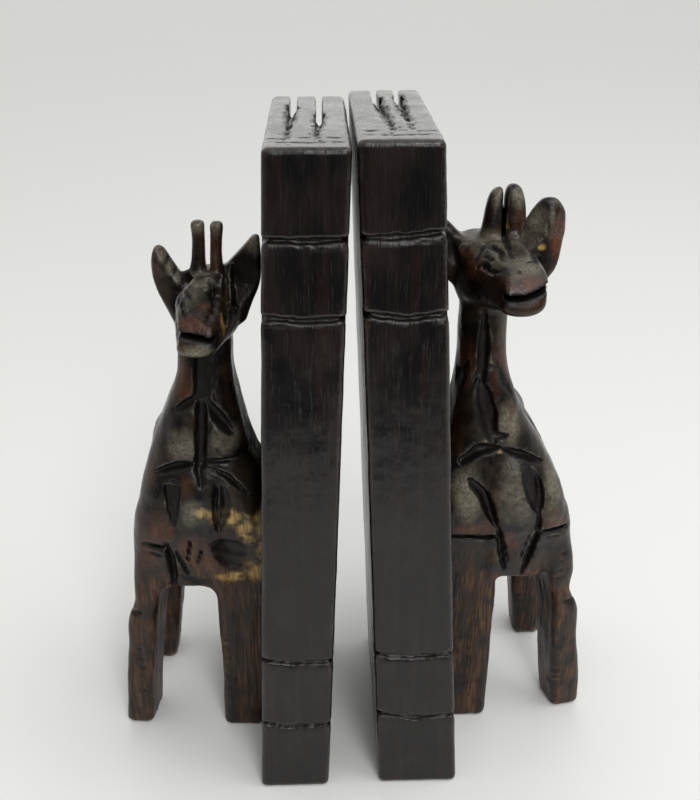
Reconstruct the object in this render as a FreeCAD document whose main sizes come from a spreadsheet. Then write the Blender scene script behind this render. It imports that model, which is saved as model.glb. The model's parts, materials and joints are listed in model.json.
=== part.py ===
import FreeCAD, Part
import math
import os

from FreeCAD import Placement, Rotation, Vector
from Sketcher import Constraint

# A pair of carved wooden giraffe bookends.  Each bookend is an upright block carved as a book, standing spine
# to the front, with a giraffe carved from a second block glued and dowelled to its outer side.
#
# Frame: +X to the right, +Y to the back, +Z up.  The origin is on the floor, under the middle of the pair.
# Every giraffe length called "inner" or "outer" is measured outward from the bottom edge of its own book, so
# the same builder serves both hands.  Lengths are millimetres, angles are degrees.

LEFT = "left"
RIGHT = "right"
SIDE_SIGN = {LEFT: -1, RIGHT: 1}
PARTS_FOLDER = "parts"

# ---------------------------------------------------------------------------------------------------------
# Driving dimensions
# ---------------------------------------------------------------------------------------------------------

SHARED_SIZES = {
    "foot_gap": (15.8, "between the two books' inner faces at the floor"),
    "book_depth": (74.0, "spine to fore-edge"),
    "book_edge_radius": (1.6, "worn radius along every edge of a book"),
    "groove_width": (1.4, "height of a band line across the spine"),
    "groove_depth": (1.1, "how far a band line is cut into the spine"),
    "slot_width": (2.3, "saw cut between two bundles of pages"),
    "slot_floor": (12.0, "solid foot left below the page cuts"),
    "fore_edge_cut": (8.0, "depth of a page cut down the fore-edge"),
    "page_flare": (42.0, "how far below the top a page cut starts to deepen"),
    "glue_line": (0.1, "between a giraffe's flank and its book"),
    "dowel_radius": (3.0, "hidden pin"),
    "dowel_length": (20.0, "half in the book, half in the giraffe"),
    "dowel_clearance": (0.1, "between a pin and its hole, all round"),
    "dowel_end_room": (0.5, "glue space past each end of a pin"),
    "upper_dowel_back": (-2.0, "upper pin, behind the book's middle"),
    "upper_dowel_height": (86.0, "upper pin, above the floor"),
    "lower_dowel_back": (20.0, "lower pin, behind the book's middle"),
    "lower_dowel_height": (74.0, "lower pin, above the floor"),
}

# The two books are hand cut, so they differ a little in height, lean and thickness.
BOOK_SIZES = {
    LEFT: {
        "height": 200.0,
        "foot_thickness": 21.2,
        "head_thickness": 21.6,
        "inner_lean": 7.4,
        "set_back": 0.0,
        "outer_slot_out": 15.0,
        "outer_slot_front": 17.0,
        "inner_slot_out": 7.6,
        "inner_slot_front": 4.0,
    },
    RIGHT: {
        "height": 201.5,
        "foot_thickness": 24.5,
        "head_thickness": 21.1,
        "inner_lean": 7.4,
        "set_back": 0.8,
        "outer_slot_out": 14.0,
        "outer_slot_front": 23.0,
        "inner_slot_out": 7.4,
        "inner_slot_front": 19.0,
    },
}

# Heights of the four band lines cut across each spine.
BAND_LINES = {
    LEFT: [24.6, 49.3, 157.0, 177.5],
    RIGHT: [27.0, 50.3, 157.3, 178.5],
}

# A limb is a row of rounded-rectangle sections.  Upright limbs list
#   (height, inner, outer, front, back, corner radius)
# and level limbs list
#   (distance back, inner, outer, bottom, top, corner radius).
UPRIGHT = "upright"
LEVEL = "level"

GIRAFFE_LIMBS = {
    LEFT: [
        ("neck", UPRIGHT, 0, [
            (69, -12.0, 36.2, -10.0, 14.0, 8.0),
            (78, -9.0, 36.8, -13.6, 15.0, 8.0),
            (91, -3.8, 34.8, -14.0, 17.0, 9.0),
            (105, 1.3, 30.7, -12.0, 17.0, 9.0),
            (118, 3.8, 25.4, -10.5, 13.0, 7.0),
            (129, 5.3, 21.4, -9.0, 10.0, 6.0),
            (140, 5.0, 21.0, -8.0, 9.0, 6.0),
            (152, 5.0, 20.0, -8.0, 7.5, 6.0),
        ]),
        ("barrel", LEVEL, 0, [
            (-4, -12.0, 33.0, 60.0, 90.0, 8.0),
            (14, -12.0, 35.0, 56.0, 90.0, 9.0),
            (30, -12.0, 36.0, 56.0, 84.0, 9.0),
            (42, -12.0, 35.0, 58.0, 82.0, 9.0),
            (49, -4.0, 28.0, 64.0, 78.0, 6.0),
        ]),
        ("back", LEVEL, 0, [
            (-2, 8.0, 28.0, 80.0, 100.0, 9.0),
            (14, 7.0, 32.0, 72.0, 103.0, 12.0),
            (30, 6.0, 35.6, 70.0, 104.0, 13.0),
            (42, 6.0, 34.0, 66.0, 96.0, 11.0),
            (50, 10.0, 27.0, 70.0, 86.0, 6.0),
        ]),
        ("head", LEVEL, 0, [
            (8, 3.0, 15.0, 146.0, 157.0, 5.0),
            (0, 2.0, 19.5, 141.0, 160.0, 6.0),
            (-10, 2.5, 19.5, 141.0, 159.8, 6.0),
            (-20, 4.3, 18.6, 142.8, 158.4, 5.0),
            (-26, 5.5, 18.3, 143.8, 157.4, 4.4),
            (-31, 6.4, 17.4, 144.6, 155.6, 3.8),
        ]),
        ("outer_horn", UPRIGHT, 0, [
            (152, 10.9, 17.2, -5.8, 0.8, 2.0),
            (158, 11.2, 16.2, -5.4, 0.4, 1.8),
            (163, 11.3, 15.0, -5.0, -0.4, 1.6),
            (168, 11.0, 14.4, -5.0, -0.8, 1.5),
            (173.6, 10.9, 14.8, -4.9, -0.7, 1.4),
        ]),
        ("inner_horn", UPRIGHT, 0, [
            (152, 5.4, 10.2, -5.8, 0.8, 2.0),
            (158, 6.4, 9.9, -5.4, 0.4, 1.7),
            (163, 6.6, 9.8, -5.0, -0.4, 1.5),
            (168, 6.2, 9.6, -5.0, -0.8, 1.5),
            (173.3, 5.8, 9.7, -4.8, -0.8, 1.4),
        ]),
        ("outer_ear", UPRIGHT, 0, [
            (144, 13.0, 21.4, -3.6, 3.8, 2.5),
            (149, 15.0, 23.8, -3.6, 3.8, 2.5),
            (154, 17.2, 26.0, -3.2, 3.6, 2.3),
            (158, 19.8, 26.7, -2.9, 3.2, 2.1),
            (162, 22.0, 26.6, -2.5, 2.4, 1.7),
            (166, 23.6, 25.4, -1.8, 1.4, 0.8),
        ]),
        ("inner_ear", UPRIGHT, 0, [
            (143, 0.8, 8.0, -3.6, 4.0, 2.5),
            (149, -1.2, 8.0, -3.6, 4.0, 2.5),
            (155, -3.5, 8.0, -3.2, 3.6, 2.3),
            (160, -4.0, 5.6, -2.9, 3.2, 2.0),
            (165, -4.0, 1.0, -2.5, 2.4, 1.5),
            (169, -3.8, -2.2, -1.8, 1.4, 0.6),
        ]),
        ("bib", UPRIGHT, 0, [
            (56, 10.0, 31.0, -8.0, 12.0, 3.0),
            (66, 10.0, 30.0, -11.2, 13.0, 4.0),
            (80, 10.0, 28.0, -14.0, 13.0, 5.0),
        ]),
        ("front_outer_leg", UPRIGHT, 7, [
            (0, 37.0, 46.4, -7.0, 8.5, 2.5),
            (16, 35.7, 44.9, -7.5, 9.0, 2.5),
            (30, 34.0, 43.2, -8.0, 9.5, 2.5),
            (44.5, 32.2, 41.2, -8.6, 9.5, 2.5),
            (49.5, 31.6, 39.3, -8.8, 9.5, 2.5),
            (58, 29.4, 38.6, -9.8, 10.0, 3.0),
            (70, 25.8, 37.2, -11.2, 11.0, 4.0),
            (84, 24.0, 34.4, -10.0, 10.0, 4.0),
        ]),
        ("front_inner_leg", UPRIGHT, 0, [
            (0, 0.3, 13.5, -9.0, 6.0, 2.5),
            (30, -6.0, 13.3, -9.0, 8.0, 2.5),
            (58, -8.0, 13.4, -10.0, 9.0, 2.5),
            (68, -9.0, 13.2, -10.8, 9.0, 3.5),
            (80, -9.0, 13.0, -9.0, 9.0, 4.0),
        ]),
        ("hind_outer_leg", UPRIGHT, 0, [
            (0, 34.0, 44.0, 27.0, 41.0, 2.5),
            (27, 30.5, 43.0, 27.5, 43.0, 3.0),
            (52, 28.0, 43.2, 27.5, 45.0, 3.5),
            (70, 24.0, 41.6, 26.0, 46.0, 5.0),
            (84, 20.0, 37.0, 24.0, 44.5, 6.0),
            (96, 15.0, 31.0, 22.0, 42.0, 6.0),
        ]),
        ("hind_inner_leg", UPRIGHT, 0, [
            (0, 0.3, 12.5, 28.0, 42.0, 2.5),
            (27, -6.0, 13.0, 28.0, 43.5, 3.0),
            (60, -8.0, 14.0, 27.5, 45.0, 3.5),
            (76, -9.0, 14.0, 27.5, 44.0, 3.5),
        ]),
    ],
    RIGHT: [
        ("neck", UPRIGHT, 0, [
            (70, -12.0, 35.4, -10.0, 15.0, 8.0),
            (78, -12.0, 35.2, -13.6, 16.0, 8.0),
            (90, -9.0, 32.2, -14.0, 18.0, 9.0),
            (103, -4.0, 26.0, -12.0, 19.0, 9.0),
            (116, -1.6, 18.6, -10.5, 15.0, 7.0),
            (130, -0.5, 13.6, -9.0, 11.0, 6.0),
            (142, -0.5, 12.7, -8.0, 10.0, 6.0),
            (158, 0.0, 14.0, -7.0, 8.5, 6.0),
        ]),
        ("barrel", LEVEL, 0, [
            (-4, -12.0, 30.0, 60.0, 92.0, 8.0),
            (14, -12.0, 31.0, 56.0, 93.0, 9.0),
            (30, -12.0, 31.0, 56.0, 88.0, 9.0),
            (44, -12.0, 30.0, 58.0, 84.0, 9.0),
            (51, -4.0, 25.0, 64.0, 80.0, 6.0),
        ]),
        ("back", LEVEL, 0, [
            (0, -2.0, 20.0, 84.0, 110.0, 10.0),
            (15, -1.0, 24.0, 76.0, 111.0, 12.0),
            (30, 0.0, 27.0, 72.0, 110.0, 13.0),
            (43, 2.0, 26.0, 68.0, 99.0, 11.0),
            (50.5, 6.0, 22.0, 72.0, 88.0, 6.0),
        ]),
        ("head", LEVEL, 0, [
            (9.5, -1.0, 11.0, 153.0, 165.0, 5.0),
            (2, -3.0, 15.0, 148.5, 169.5, 6.0),
            (-8, -1.5, 17.0, 149.5, 169.2, 6.0),
            (-18, 2.0, 18.2, 152.4, 168.2, 5.5),
            (-25, 4.2, 18.4, 153.6, 167.4, 5.5),
            (-30, 5.0, 17.6, 154.4, 165.8, 5.0),
        ]),
        ("outer_horn", UPRIGHT, 0, [
            (163, 9.2, 16.8, -4.4, 3.5, 2.5),
            (171, 9.3, 16.4, -4.0, 3.0, 2.4),
            (177, 9.5, 16.0, -3.4, 2.6, 2.3),
            (180, 9.9, 15.2, -2.9, 2.1, 2.0),
            (182.2, 10.8, 14.2, -2.2, 1.5, 1.2),
        ]),
        ("inner_horn", UPRIGHT, 0, [
            (163, 3.0, 10.4, -4.2, 3.0, 2.5),
            (171, 4.4, 10.4, -3.8, 2.6, 2.3),
            (176, 5.2, 10.3, -3.2, 2.4, 2.0),
            (180, 6.6, 10.0, -2.4, 1.8, 1.4),
            (181.6, 7.8, 9.6, -1.8, 1.0, 0.8),
        ]),
        ("outer_ear", UPRIGHT, 0, [
            (153, 13.0, 22.0, -3.0, 4.0, 2.5),
            (158, 14.4, 25.8, -3.0, 4.2, 2.5),
            (164, 15.2, 27.6, -2.9, 4.0, 2.4),
            (170, 16.4, 28.1, -2.6, 3.6, 2.2),
            (175, 18.2, 27.2, -2.2, 2.8, 1.9),
            (178.5, 21.0, 24.8, -1.4, 1.8, 1.2),
        ]),
        ("inner_ear", UPRIGHT, 0, [
            (154, -4.5, 3.0, -2.6, 4.0, 2.5),
            (160, -7.2, 3.0, -2.4, 4.0, 2.3),
            (165, -7.9, 1.0, -2.2, 3.5, 2.0),
            (169, -8.0, -2.4, -1.8, 2.8, 1.6),
            (173, -7.9, -6.2, -1.0, 1.6, 0.7),
        ]),
        ("bib", UPRIGHT, 0, [
            (57.5, 10.0, 29.0, -8.0, 12.0, 3.0),
            (66, 10.0, 29.0, -11.4, 13.0, 4.0),
            (80, 10.0, 27.0, -14.2, 13.0, 5.0),
        ]),
        ("front_outer_leg", UPRIGHT, 14, [
            (0, 35.8, 46.3, -2.6, 9.6, 2.5),
            (13, 34.6, 44.9, -4.0, 9.8, 2.5),
            (30, 33.0, 42.0, -5.6, 10.0, 2.5),
            (44.5, 31.6, 40.0, -6.8, 10.5, 2.5),
            (50.5, 30.8, 37.4, -7.4, 10.5, 2.5),
            (60, 28.2, 36.9, -9.4, 11.0, 3.0),
            (72, 25.0, 34.9, -11.0, 11.0, 4.0),
            (84, 23.0, 31.8, -10.0, 11.0, 4.0),
        ]),
        ("front_inner_leg", UPRIGHT, 0, [
            (0, 0.3, 13.6, -7.0, 7.0, 2.5),
            (30, -6.0, 14.0, -7.4, 8.5, 2.5),
            (58, -8.0, 14.2, -9.0, 9.0, 2.5),
            (72, -9.0, 13.6, -11.0, 9.0, 3.5),
            (84, -9.0, 13.0, -9.0, 9.0, 4.0),
        ]),
        ("hind_outer_leg", UPRIGHT, 0, [
            (0, 31.0, 41.0, 37.0, 49.0, 2.5),
            (27, 28.3, 40.5, 36.0, 49.0, 3.0),
            (52, 27.0, 40.6, 34.0, 48.8, 3.5),
            (70, 23.0, 38.6, 30.0, 48.0, 5.0),
            (84, 18.0, 34.0, 27.0, 46.0, 6.0),
            (98, 12.0, 26.0, 25.0, 43.0, 6.0),
        ]),
        ("hind_inner_leg", UPRIGHT, 0, [
            (0, 0.3, 12.5, 37.0, 49.0, 2.5),
            (27, -6.0, 13.0, 36.0, 49.0, 3.0),
            (60, -8.0, 14.0, 33.0, 48.5, 3.5),
            (76, -9.0, 14.0, 31.0, 47.0, 3.5),
        ]),
    ],
}

doc = FreeCAD.newDocument("GiraffeBookends")
sheet = doc.addObject("Spreadsheet::Sheet", "Sizes")


class SheetWriter:
    """Writes one named size to a row: its name, its value and what it measures."""

    def __init__(self):
        self.row = 1

    def put(self, alias, value, note=""):
        sheet.set(f"A{self.row}", alias)
        sheet.set(f"B{self.row}", repr(float(value)))
        sheet.set(f"C{self.row}", note)
        sheet.setAlias(f"B{self.row}", alias)
        self.row += 1


def fill_sheet():
    writer = SheetWriter()
    writer.put("pair_middle_x", 0.0, "middle of the pair's footprint, set once the pieces are made")
    writer.put("pair_middle_y", 0.0, "middle of the pair's footprint, set once the pieces are made")
    for alias, (value, note) in SHARED_SIZES.items():
        writer.put(alias, value, note)
    for side, sizes in BOOK_SIZES.items():
        for name, value in sizes.items():
            writer.put(f"{side}_book_{name}", value)
        for number, height in enumerate(BAND_LINES[side], start=1):
            writer.put(f"{side}_band_{number}_height", height)
    for side, limbs in GIRAFFE_LIMBS.items():
        for limb, _direction, turn, sections in limbs:
            writer.put(f"{side}_{limb}_turn", turn, "degrees about the section's own middle")
            for number, section in enumerate(sections, start=1):
                for key, value in zip(("station", "inner", "outer", "low", "high", "corner"), section):
                    writer.put(f"{side}_{limb}_{number}_{key}", value)
    doc.recompute()


def size(alias):
    return float(sheet.get(alias))


# ---------------------------------------------------------------------------------------------------------
# Sketch helpers
# ---------------------------------------------------------------------------------------------------------

ORIGIN_POINT = (-1, 1)
START, END = 1, 2
# How a sketch's own axes lie on each base plane: offsets along the normal change sign on the XZ plane,
# whose normal points to the front.
NORMAL_SIGN = {"XY_Plane": 1, "XZ_Plane": -1, "YZ_Plane": 1}


def new_body(label):
    body = doc.addObject("PartDesign::Body", label)
    body.Label = label
    return body


def base_plane(body, role):
    for feature in body.Origin.OriginFeatures:
        if feature.Role == role:
            return feature
    raise ValueError(f"{body.Label} has no {role}")


def new_sketch(body, name, role, across, up, out):
    """A sketch on one of the body's base planes, moved by three expressions along its own axes."""
    sketch = body.newObject("Sketcher::SketchObject", name)
    sketch.AttachmentSupport = [(base_plane(body, role), "")]
    sketch.MapMode = "FlatFace"
    sketch.setExpression("AttachmentOffset.Base.x", across)
    sketch.setExpression("AttachmentOffset.Base.y", up)
    outward = out if NORMAL_SIGN[role] > 0 else f"-({out})"
    sketch.setExpression("AttachmentOffset.Base.z", outward)
    return sketch


def add_rounded_rectangle(sketch, width, depth, corner):
    """Four sides and four equal corner arcs about the sketch's origin; the three sizes are expressions."""
    half_width, half_depth, radius = 10.0, 8.0, 2.0
    straight_x = half_width - radius
    straight_y = half_depth - radius
    side_ends = [
        (Vector(-straight_x, -half_depth), Vector(straight_x, -half_depth)),
        (Vector(half_width, -straight_y), Vector(half_width, straight_y)),
        (Vector(straight_x, half_depth), Vector(-straight_x, half_depth)),
        (Vector(-half_width, straight_y), Vector(-half_width, -straight_y)),
    ]
    corner_centres = [
        Vector(straight_x, -straight_y),
        Vector(straight_x, straight_y),
        Vector(-straight_x, straight_y),
        Vector(-straight_x, -straight_y),
    ]
    lines = [sketch.addGeometry(Part.LineSegment(first, last), False) for first, last in side_ends]
    arcs = []
    for number, centre in enumerate(corner_centres):
        circle = Part.Circle(centre, Vector(0, 0, 1), radius)
        start_angle = math.radians(90 * (number - 1))
        arcs.append(sketch.addGeometry(Part.ArcOfCircle(circle, start_angle, start_angle + math.pi / 2), False))
    for number in range(4):
        following = (number + 1) % 4
        sketch.addConstraint(Constraint("Tangent", lines[number], END, arcs[number], START))
        sketch.addConstraint(Constraint("Tangent", arcs[number], END, lines[following], START))
        sketch.addConstraint(Constraint("Vertical" if number % 2 else "Horizontal", lines[number]))
    for arc in arcs[1:]:
        sketch.addConstraint(Constraint("Equal", arcs[0], arc))
    bottom, right, top, left = lines
    sketch.addConstraint(Constraint("Symmetric", bottom, START, top, START, *ORIGIN_POINT))
    drive(sketch, Constraint("DistanceX", left, START, right, START, 2 * half_width), "width", width)
    drive(sketch, Constraint("DistanceY", bottom, START, top, END, 2 * half_depth), "depth", depth)
    drive(sketch, Constraint("Radius", arcs[0], radius), "corner", corner)


def drive(sketch, constraint, name, expression):
    """Adds a dimension and binds it to the sheet."""
    index = sketch.addConstraint(constraint)
    sketch.renameConstraint(index, name)
    sketch.setExpression(f"Constraints.{name}", expression)


def add_rectangle(sketch, width, depth):
    """A sharp-cornered rectangle about the sketch's origin; both sizes are expressions."""
    corners = [Vector(-5, -4), Vector(5, -4), Vector(5, 4), Vector(-5, 4)]
    lines = []
    for number, corner in enumerate(corners):
        lines.append(sketch.addGeometry(Part.LineSegment(corner, corners[(number + 1) % 4]), False))
    for number in range(4):
        sketch.addConstraint(Constraint("Coincident", lines[number], END, lines[(number + 1) % 4], START))
        sketch.addConstraint(Constraint("Vertical" if number % 2 else "Horizontal", lines[number]))
    bottom, right, top, _left = lines
    sketch.addConstraint(Constraint("Symmetric", bottom, START, top, START, *ORIGIN_POINT))
    drive(sketch, Constraint("DistanceX", bottom, START, bottom, END, 10), "width", width)
    drive(sketch, Constraint("DistanceY", right, START, right, END, 8), "depth", depth)


def add_leaning_quad(sketch, side, bottom, top):
    """A four-sided outline with level ends.  Each end is (height, nearer edge, farther edge) and the edges
    are expressions for the distance out from the gap between the books."""
    sign = SIDE_SIGN[side]
    rough = [(sign * 8, 0), (sign * 29, 0), (sign * 22, 200), (sign * 1, 200)]
    corners = [Vector(x, z) for x, z in rough]
    lines = []
    for number, corner in enumerate(corners):
        lines.append(sketch.addGeometry(Part.LineSegment(corner, corners[(number + 1) % 4]), False))
    for number in range(4):
        sketch.addConstraint(Constraint("Coincident", lines[number], END, lines[(number + 1) % 4], START))
    base, far, roof, near = lines
    sketch.addConstraint(Constraint("Horizontal", base))
    sketch.addConstraint(Constraint("Horizontal", roof))
    ends = [
        ("bottom", bottom, near, END, base, END),
        ("top", top, roof, END, far, END),
    ]
    for name, (height, near_edge, far_edge), near_line, near_point, far_line, far_point in ends:
        drive(sketch, Constraint("DistanceY", *ORIGIN_POINT, near_line, near_point, 1), f"{name}_height", height)
        drive(sketch, Constraint("DistanceX", *ORIGIN_POINT, near_line, near_point, sign),
              f"{name}_near", signed(side, near_edge))
        drive(sketch, Constraint("DistanceX", *ORIGIN_POINT, far_line, far_point, sign),
              f"{name}_far", signed(side, far_edge))


def add_loft(body, kind, name, sketches, ruled=False):
    """An additive or subtractive loft through a row of sketches."""
    loft = body.newObject(f"PartDesign::{kind}", name)
    loft.Profile = sketches[0]
    loft.Sections = sketches[1:]
    loft.Ruled = ruled
    body.Tip = loft
    for sketch in sketches:
        sketch.Visibility = False
    return loft


def cut_pocket(body, name, sketch, length=None, reverse=False):
    """A pocket that has to remove wood: one that points away from the solid stops the build."""
    doc.recompute()
    before = body.Shape.Volume
    pocket = body.newObject("PartDesign::Pocket", name)
    pocket.Profile = sketch
    if length is None:
        pocket.Type = "ThroughAll"
        pocket.Midplane = True
    else:
        pocket.setExpression("Length", length)
        pocket.Reversed = reverse
    body.Tip = pocket
    doc.recompute()
    if body.Shape.Volume >= before:
        raise ValueError(f"{body.Label}: {name} cuts nothing")
    return pocket


# ---------------------------------------------------------------------------------------------------------
# Books
# ---------------------------------------------------------------------------------------------------------

def book_faces(side, height):
    """Expressions for the page-side face and the giraffe-side face of a book at a height."""
    share = f"({height}) / Sizes.{side}_book_height"
    inner = f"Sizes.foot_gap / 2 - Sizes.{side}_book_inner_lean * {share}"
    growth = f"(Sizes.{side}_book_head_thickness - Sizes.{side}_book_foot_thickness) * {share}"
    return inner, f"{inner} + Sizes.{side}_book_foot_thickness + {growth}"


def signed(side, expression):
    return expression if SIDE_SIGN[side] > 0 else f"-({expression})"


def place(piece):
    """Moves a finished sub-part from the books' frame to the pair's own origin."""
    piece.setExpression("Placement.Base.x", "-Sizes.pair_middle_x")
    piece.setExpression("Placement.Base.y", "-Sizes.pair_middle_y")


def add_page_slot(body, side, slot):
    """A saw cut down the fore-edge that runs deep into the top, following the lean of the book."""
    height = f"Sizes.{side}_book_height"
    rear = "(Sizes.book_depth / 2 + 5)"
    stations = [
        ("top", f"{height} + 5", f"Sizes.{side}_book_{slot}_front"),
        ("flare", f"{height} - Sizes.page_flare", "(Sizes.book_depth / 2 - Sizes.fore_edge_cut)"),
        ("floor", "Sizes.slot_floor", "(Sizes.book_depth / 2 - Sizes.fore_edge_cut)"),
    ]
    sketches = []
    for station, level, front in stations:
        inner, _outer = book_faces(side, level)
        middle = signed(side, f"{inner} + Sizes.{side}_book_{slot}_out")
        back = f"({front} + {rear}) / 2 + Sizes.{side}_book_set_back"
        sketch = new_sketch(body, f"{side}_{slot}_{station}", "XY_Plane", middle, back, level)
        add_rectangle(sketch, "Sizes.slot_width", f"{rear} - {front}")
        sketches.append(sketch)
    add_loft(body, "SubtractiveLoft", f"{side}_{slot}", sketches, ruled=True)


def add_band_line(body, side, number):
    """A line cut across the spine and a little way round both of its corners."""
    level = f"Sizes.{side}_band_{number}_height"
    spine = f"Sizes.{side}_book_set_back - Sizes.book_depth / 2"
    inner, outer = book_faces(side, level)
    middle = signed(side, f"({inner} + {outer}) / 2")
    sketch = new_sketch(body, f"{side}_band_{number}_outline", "XZ_Plane", middle, level, f"{spine} - 5")
    add_rectangle(sketch, f"Sizes.{side}_book_head_thickness + 20", "Sizes.groove_width")
    cut_pocket(body, f"{side}_band_{number}", sketch, "5 + Sizes.groove_depth")


def add_dowel_hole(body, side, place_name):
    """A blind hole along X, with a little glue space round the pin and past its end."""
    _inner, outer = book_faces(side, f"Sizes.{place_name}_dowel_height")
    start = f"{outer} - Sizes.dowel_length / 2 - Sizes.dowel_end_room"
    sketch = new_sketch(body, f"{side}_{place_name}_hole_outline", "YZ_Plane",
                        f"Sizes.{place_name}_dowel_back", f"Sizes.{place_name}_dowel_height",
                        signed(side, start))
    circle = sketch.addGeometry(Part.Circle(Vector(0, 0, 0), Vector(0, 0, 1), 3), False)
    sketch.addConstraint(Constraint("Coincident", circle, 3, *ORIGIN_POINT))
    drive(sketch, Constraint("Radius", circle, 3), "radius", "Sizes.dowel_radius + Sizes.dowel_clearance")
    cut_pocket(body, f"{side}_{place_name}_hole", sketch, "Sizes.dowel_length + 2 * Sizes.dowel_end_room",
               reverse=SIDE_SIGN[side] > 0)


def build_book(side):
    body = new_body(f"{side}_book")
    outline = new_sketch(body, f"{side}_book_outline", "XZ_Plane", "0", "0", f"Sizes.{side}_book_set_back")
    height = f"Sizes.{side}_book_height"
    add_leaning_quad(outline, side, ("0", *book_faces(side, "0")), (height, *book_faces(side, height)))
    slab = body.newObject("PartDesign::Pad", f"{side}_slab")
    slab.Profile = outline
    slab.Midplane = True
    slab.setExpression("Length", "Sizes.book_depth")
    doc.recompute()
    edges = body.newObject("PartDesign::Fillet", f"{side}_edges")
    edges.Base = (slab, [f"Edge{number}" for number in range(1, len(slab.Shape.Edges) + 1)])
    edges.setExpression("Radius", "Sizes.book_edge_radius")
    body.Tip = edges
    doc.recompute()
    for slot in ("outer_slot", "inner_slot"):
        add_page_slot(body, side, slot)
    for number in range(1, len(BAND_LINES[side]) + 1):
        add_band_line(body, side, number)
    for place_name in ("upper", "lower"):
        add_dowel_hole(body, side, place_name)
    place(body)
    return body


# ---------------------------------------------------------------------------------------------------------
# Giraffes
# ---------------------------------------------------------------------------------------------------------

def add_limb(body, side, limb, direction, section_count):
    """One tapering limb, lofted through rounded rectangles stacked upward or from front to back."""
    _inner, foot = book_faces(side, "0")
    sketches = []
    for number in range(1, section_count + 1):
        cell = f"Sizes.{side}_{limb}_{number}"
        middle = signed(side, f"{foot} + ({cell}_inner + {cell}_outer) / 2")
        second = f"({cell}_low + {cell}_high) / 2"
        role = "XY_Plane" if direction == UPRIGHT else "XZ_Plane"
        sketch = new_sketch(body, f"{side}_{limb}_{number}", role, middle, second, f"{cell}_station")
        turn = signed(side, f"Sizes.{side}_{limb}_turn * 1 deg")
        sketch.setExpression("AttachmentOffset.Rotation.Angle", turn)
        add_rounded_rectangle(sketch, f"{cell}_outer - {cell}_inner", f"{cell}_high - {cell}_low",
                              f"{cell}_corner")
        sketches.append(sketch)
    # Legs run straight from station to station; a smooth loft would swell out beside the knee cut.
    add_loft(body, "AdditiveLoft", f"{side}_{limb}_loft", sketches, ruled=limb.endswith("_leg"))


def trim_to_book(body, side):
    """Planes the giraffe's flank flat against the book, less the thickness of the glue line."""
    sketch = new_sketch(body, f"{side}_flank_outline", "XZ_Plane", "0", "0", "0")
    ends = []
    for level in ("-10", f"Sizes.{side}_book_height + 10"):
        _inner, outer = book_faces(side, level)
        ends.append((level, "0", f"{outer} + Sizes.glue_line"))
    add_leaning_quad(sketch, side, *ends)
    cut_pocket(body, f"{side}_flank", sketch)


def build_giraffe(side):
    body = new_body(f"{side}_giraffe")
    for limb, direction, _turn, sections in GIRAFFE_LIMBS[side]:
        add_limb(body, side, limb, direction, len(sections))
        doc.recompute()
    trim_to_book(body, side)
    for place_name in ("upper", "lower"):
        add_dowel_hole(body, side, place_name)
    place(body)
    return body


# ---------------------------------------------------------------------------------------------------------
# Dowels
# ---------------------------------------------------------------------------------------------------------

def build_dowel(side, place_name):
    """A plain wooden pin lying along X, half in the book and half in the giraffe."""
    dowel = doc.addObject("Part::Cylinder", f"{side}_{place_name}_dowel")
    dowel.Label = f"{side}_{place_name}_dowel"
    dowel.Placement = Placement(Vector(0, 0, 0), Rotation(Vector(0, 1, 0), 90))
    dowel.setExpression("Radius", "Sizes.dowel_radius")
    dowel.setExpression("Height", "Sizes.dowel_length")
    _inner, outer = book_faces(side, f"Sizes.{place_name}_dowel_height")
    middle = signed(side, outer)
    dowel.setExpression("Placement.Base.x", f"{middle} - Sizes.dowel_length / 2 - Sizes.pair_middle_x")
    dowel.setExpression("Placement.Base.y", f"Sizes.{place_name}_dowel_back - Sizes.pair_middle_y")
    dowel.setExpression("Placement.Base.z", f"Sizes.{place_name}_dowel_height")
    return dowel


# ---------------------------------------------------------------------------------------------------------
# Build, centre, check, write
# ---------------------------------------------------------------------------------------------------------

def centre_pair(pieces):
    """Moves the origin under the middle of the pair's footprint."""
    box = FreeCAD.BoundBox()
    for piece in pieces:
        box.add(piece.Shape.optimalBoundingBox(False))
    sheet.set("pair_middle_x", repr(round(box.Center.x, 3)))
    sheet.set("pair_middle_y", repr(round(box.Center.y, 3)))
    doc.recompute()


def check_document(pieces):
    for item in doc.Objects:
        if "Invalid" in item.State or "Error" in item.State:
            raise RuntimeError(f"{item.Label} failed: {item.State}")
    for piece in pieces:
        shape = piece.Shape
        if shape.isNull() or not shape.isValid():
            raise RuntimeError(f"{piece.Label} has no valid shape")
        if len(shape.Solids) != 1:
            raise RuntimeError(f"{piece.Label} is {len(shape.Solids)} solids, not one")


def write_parts(pieces):
    os.makedirs(PARTS_FOLDER, exist_ok=True)
    for piece in pieces:
        piece.Shape.exportStep(os.path.join(PARTS_FOLDER, f"{piece.Label}.step"))
        box = piece.Shape.optimalBoundingBox(False)
        print(f"{piece.Label}: {piece.Shape.Volume / 1000:.1f} cm3, "
              f"x {box.XMin:.2f}..{box.XMax:.2f}, y {box.YMin:.2f}..{box.YMax:.2f}, "
              f"z {box.ZMin:.2f}..{box.ZMax:.2f}")


def main():
    fill_sheet()
    pieces = []
    for side in (LEFT, RIGHT):
        pieces.append(build_book(side))
        pieces.append(build_giraffe(side))
        for place_name in ("upper", "lower"):
            pieces.append(build_dowel(side, place_name))
    doc.recompute()
    centre_pair(pieces)
    check_document(pieces)
    write_parts(pieces)


main()
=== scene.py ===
import json
import math

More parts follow.
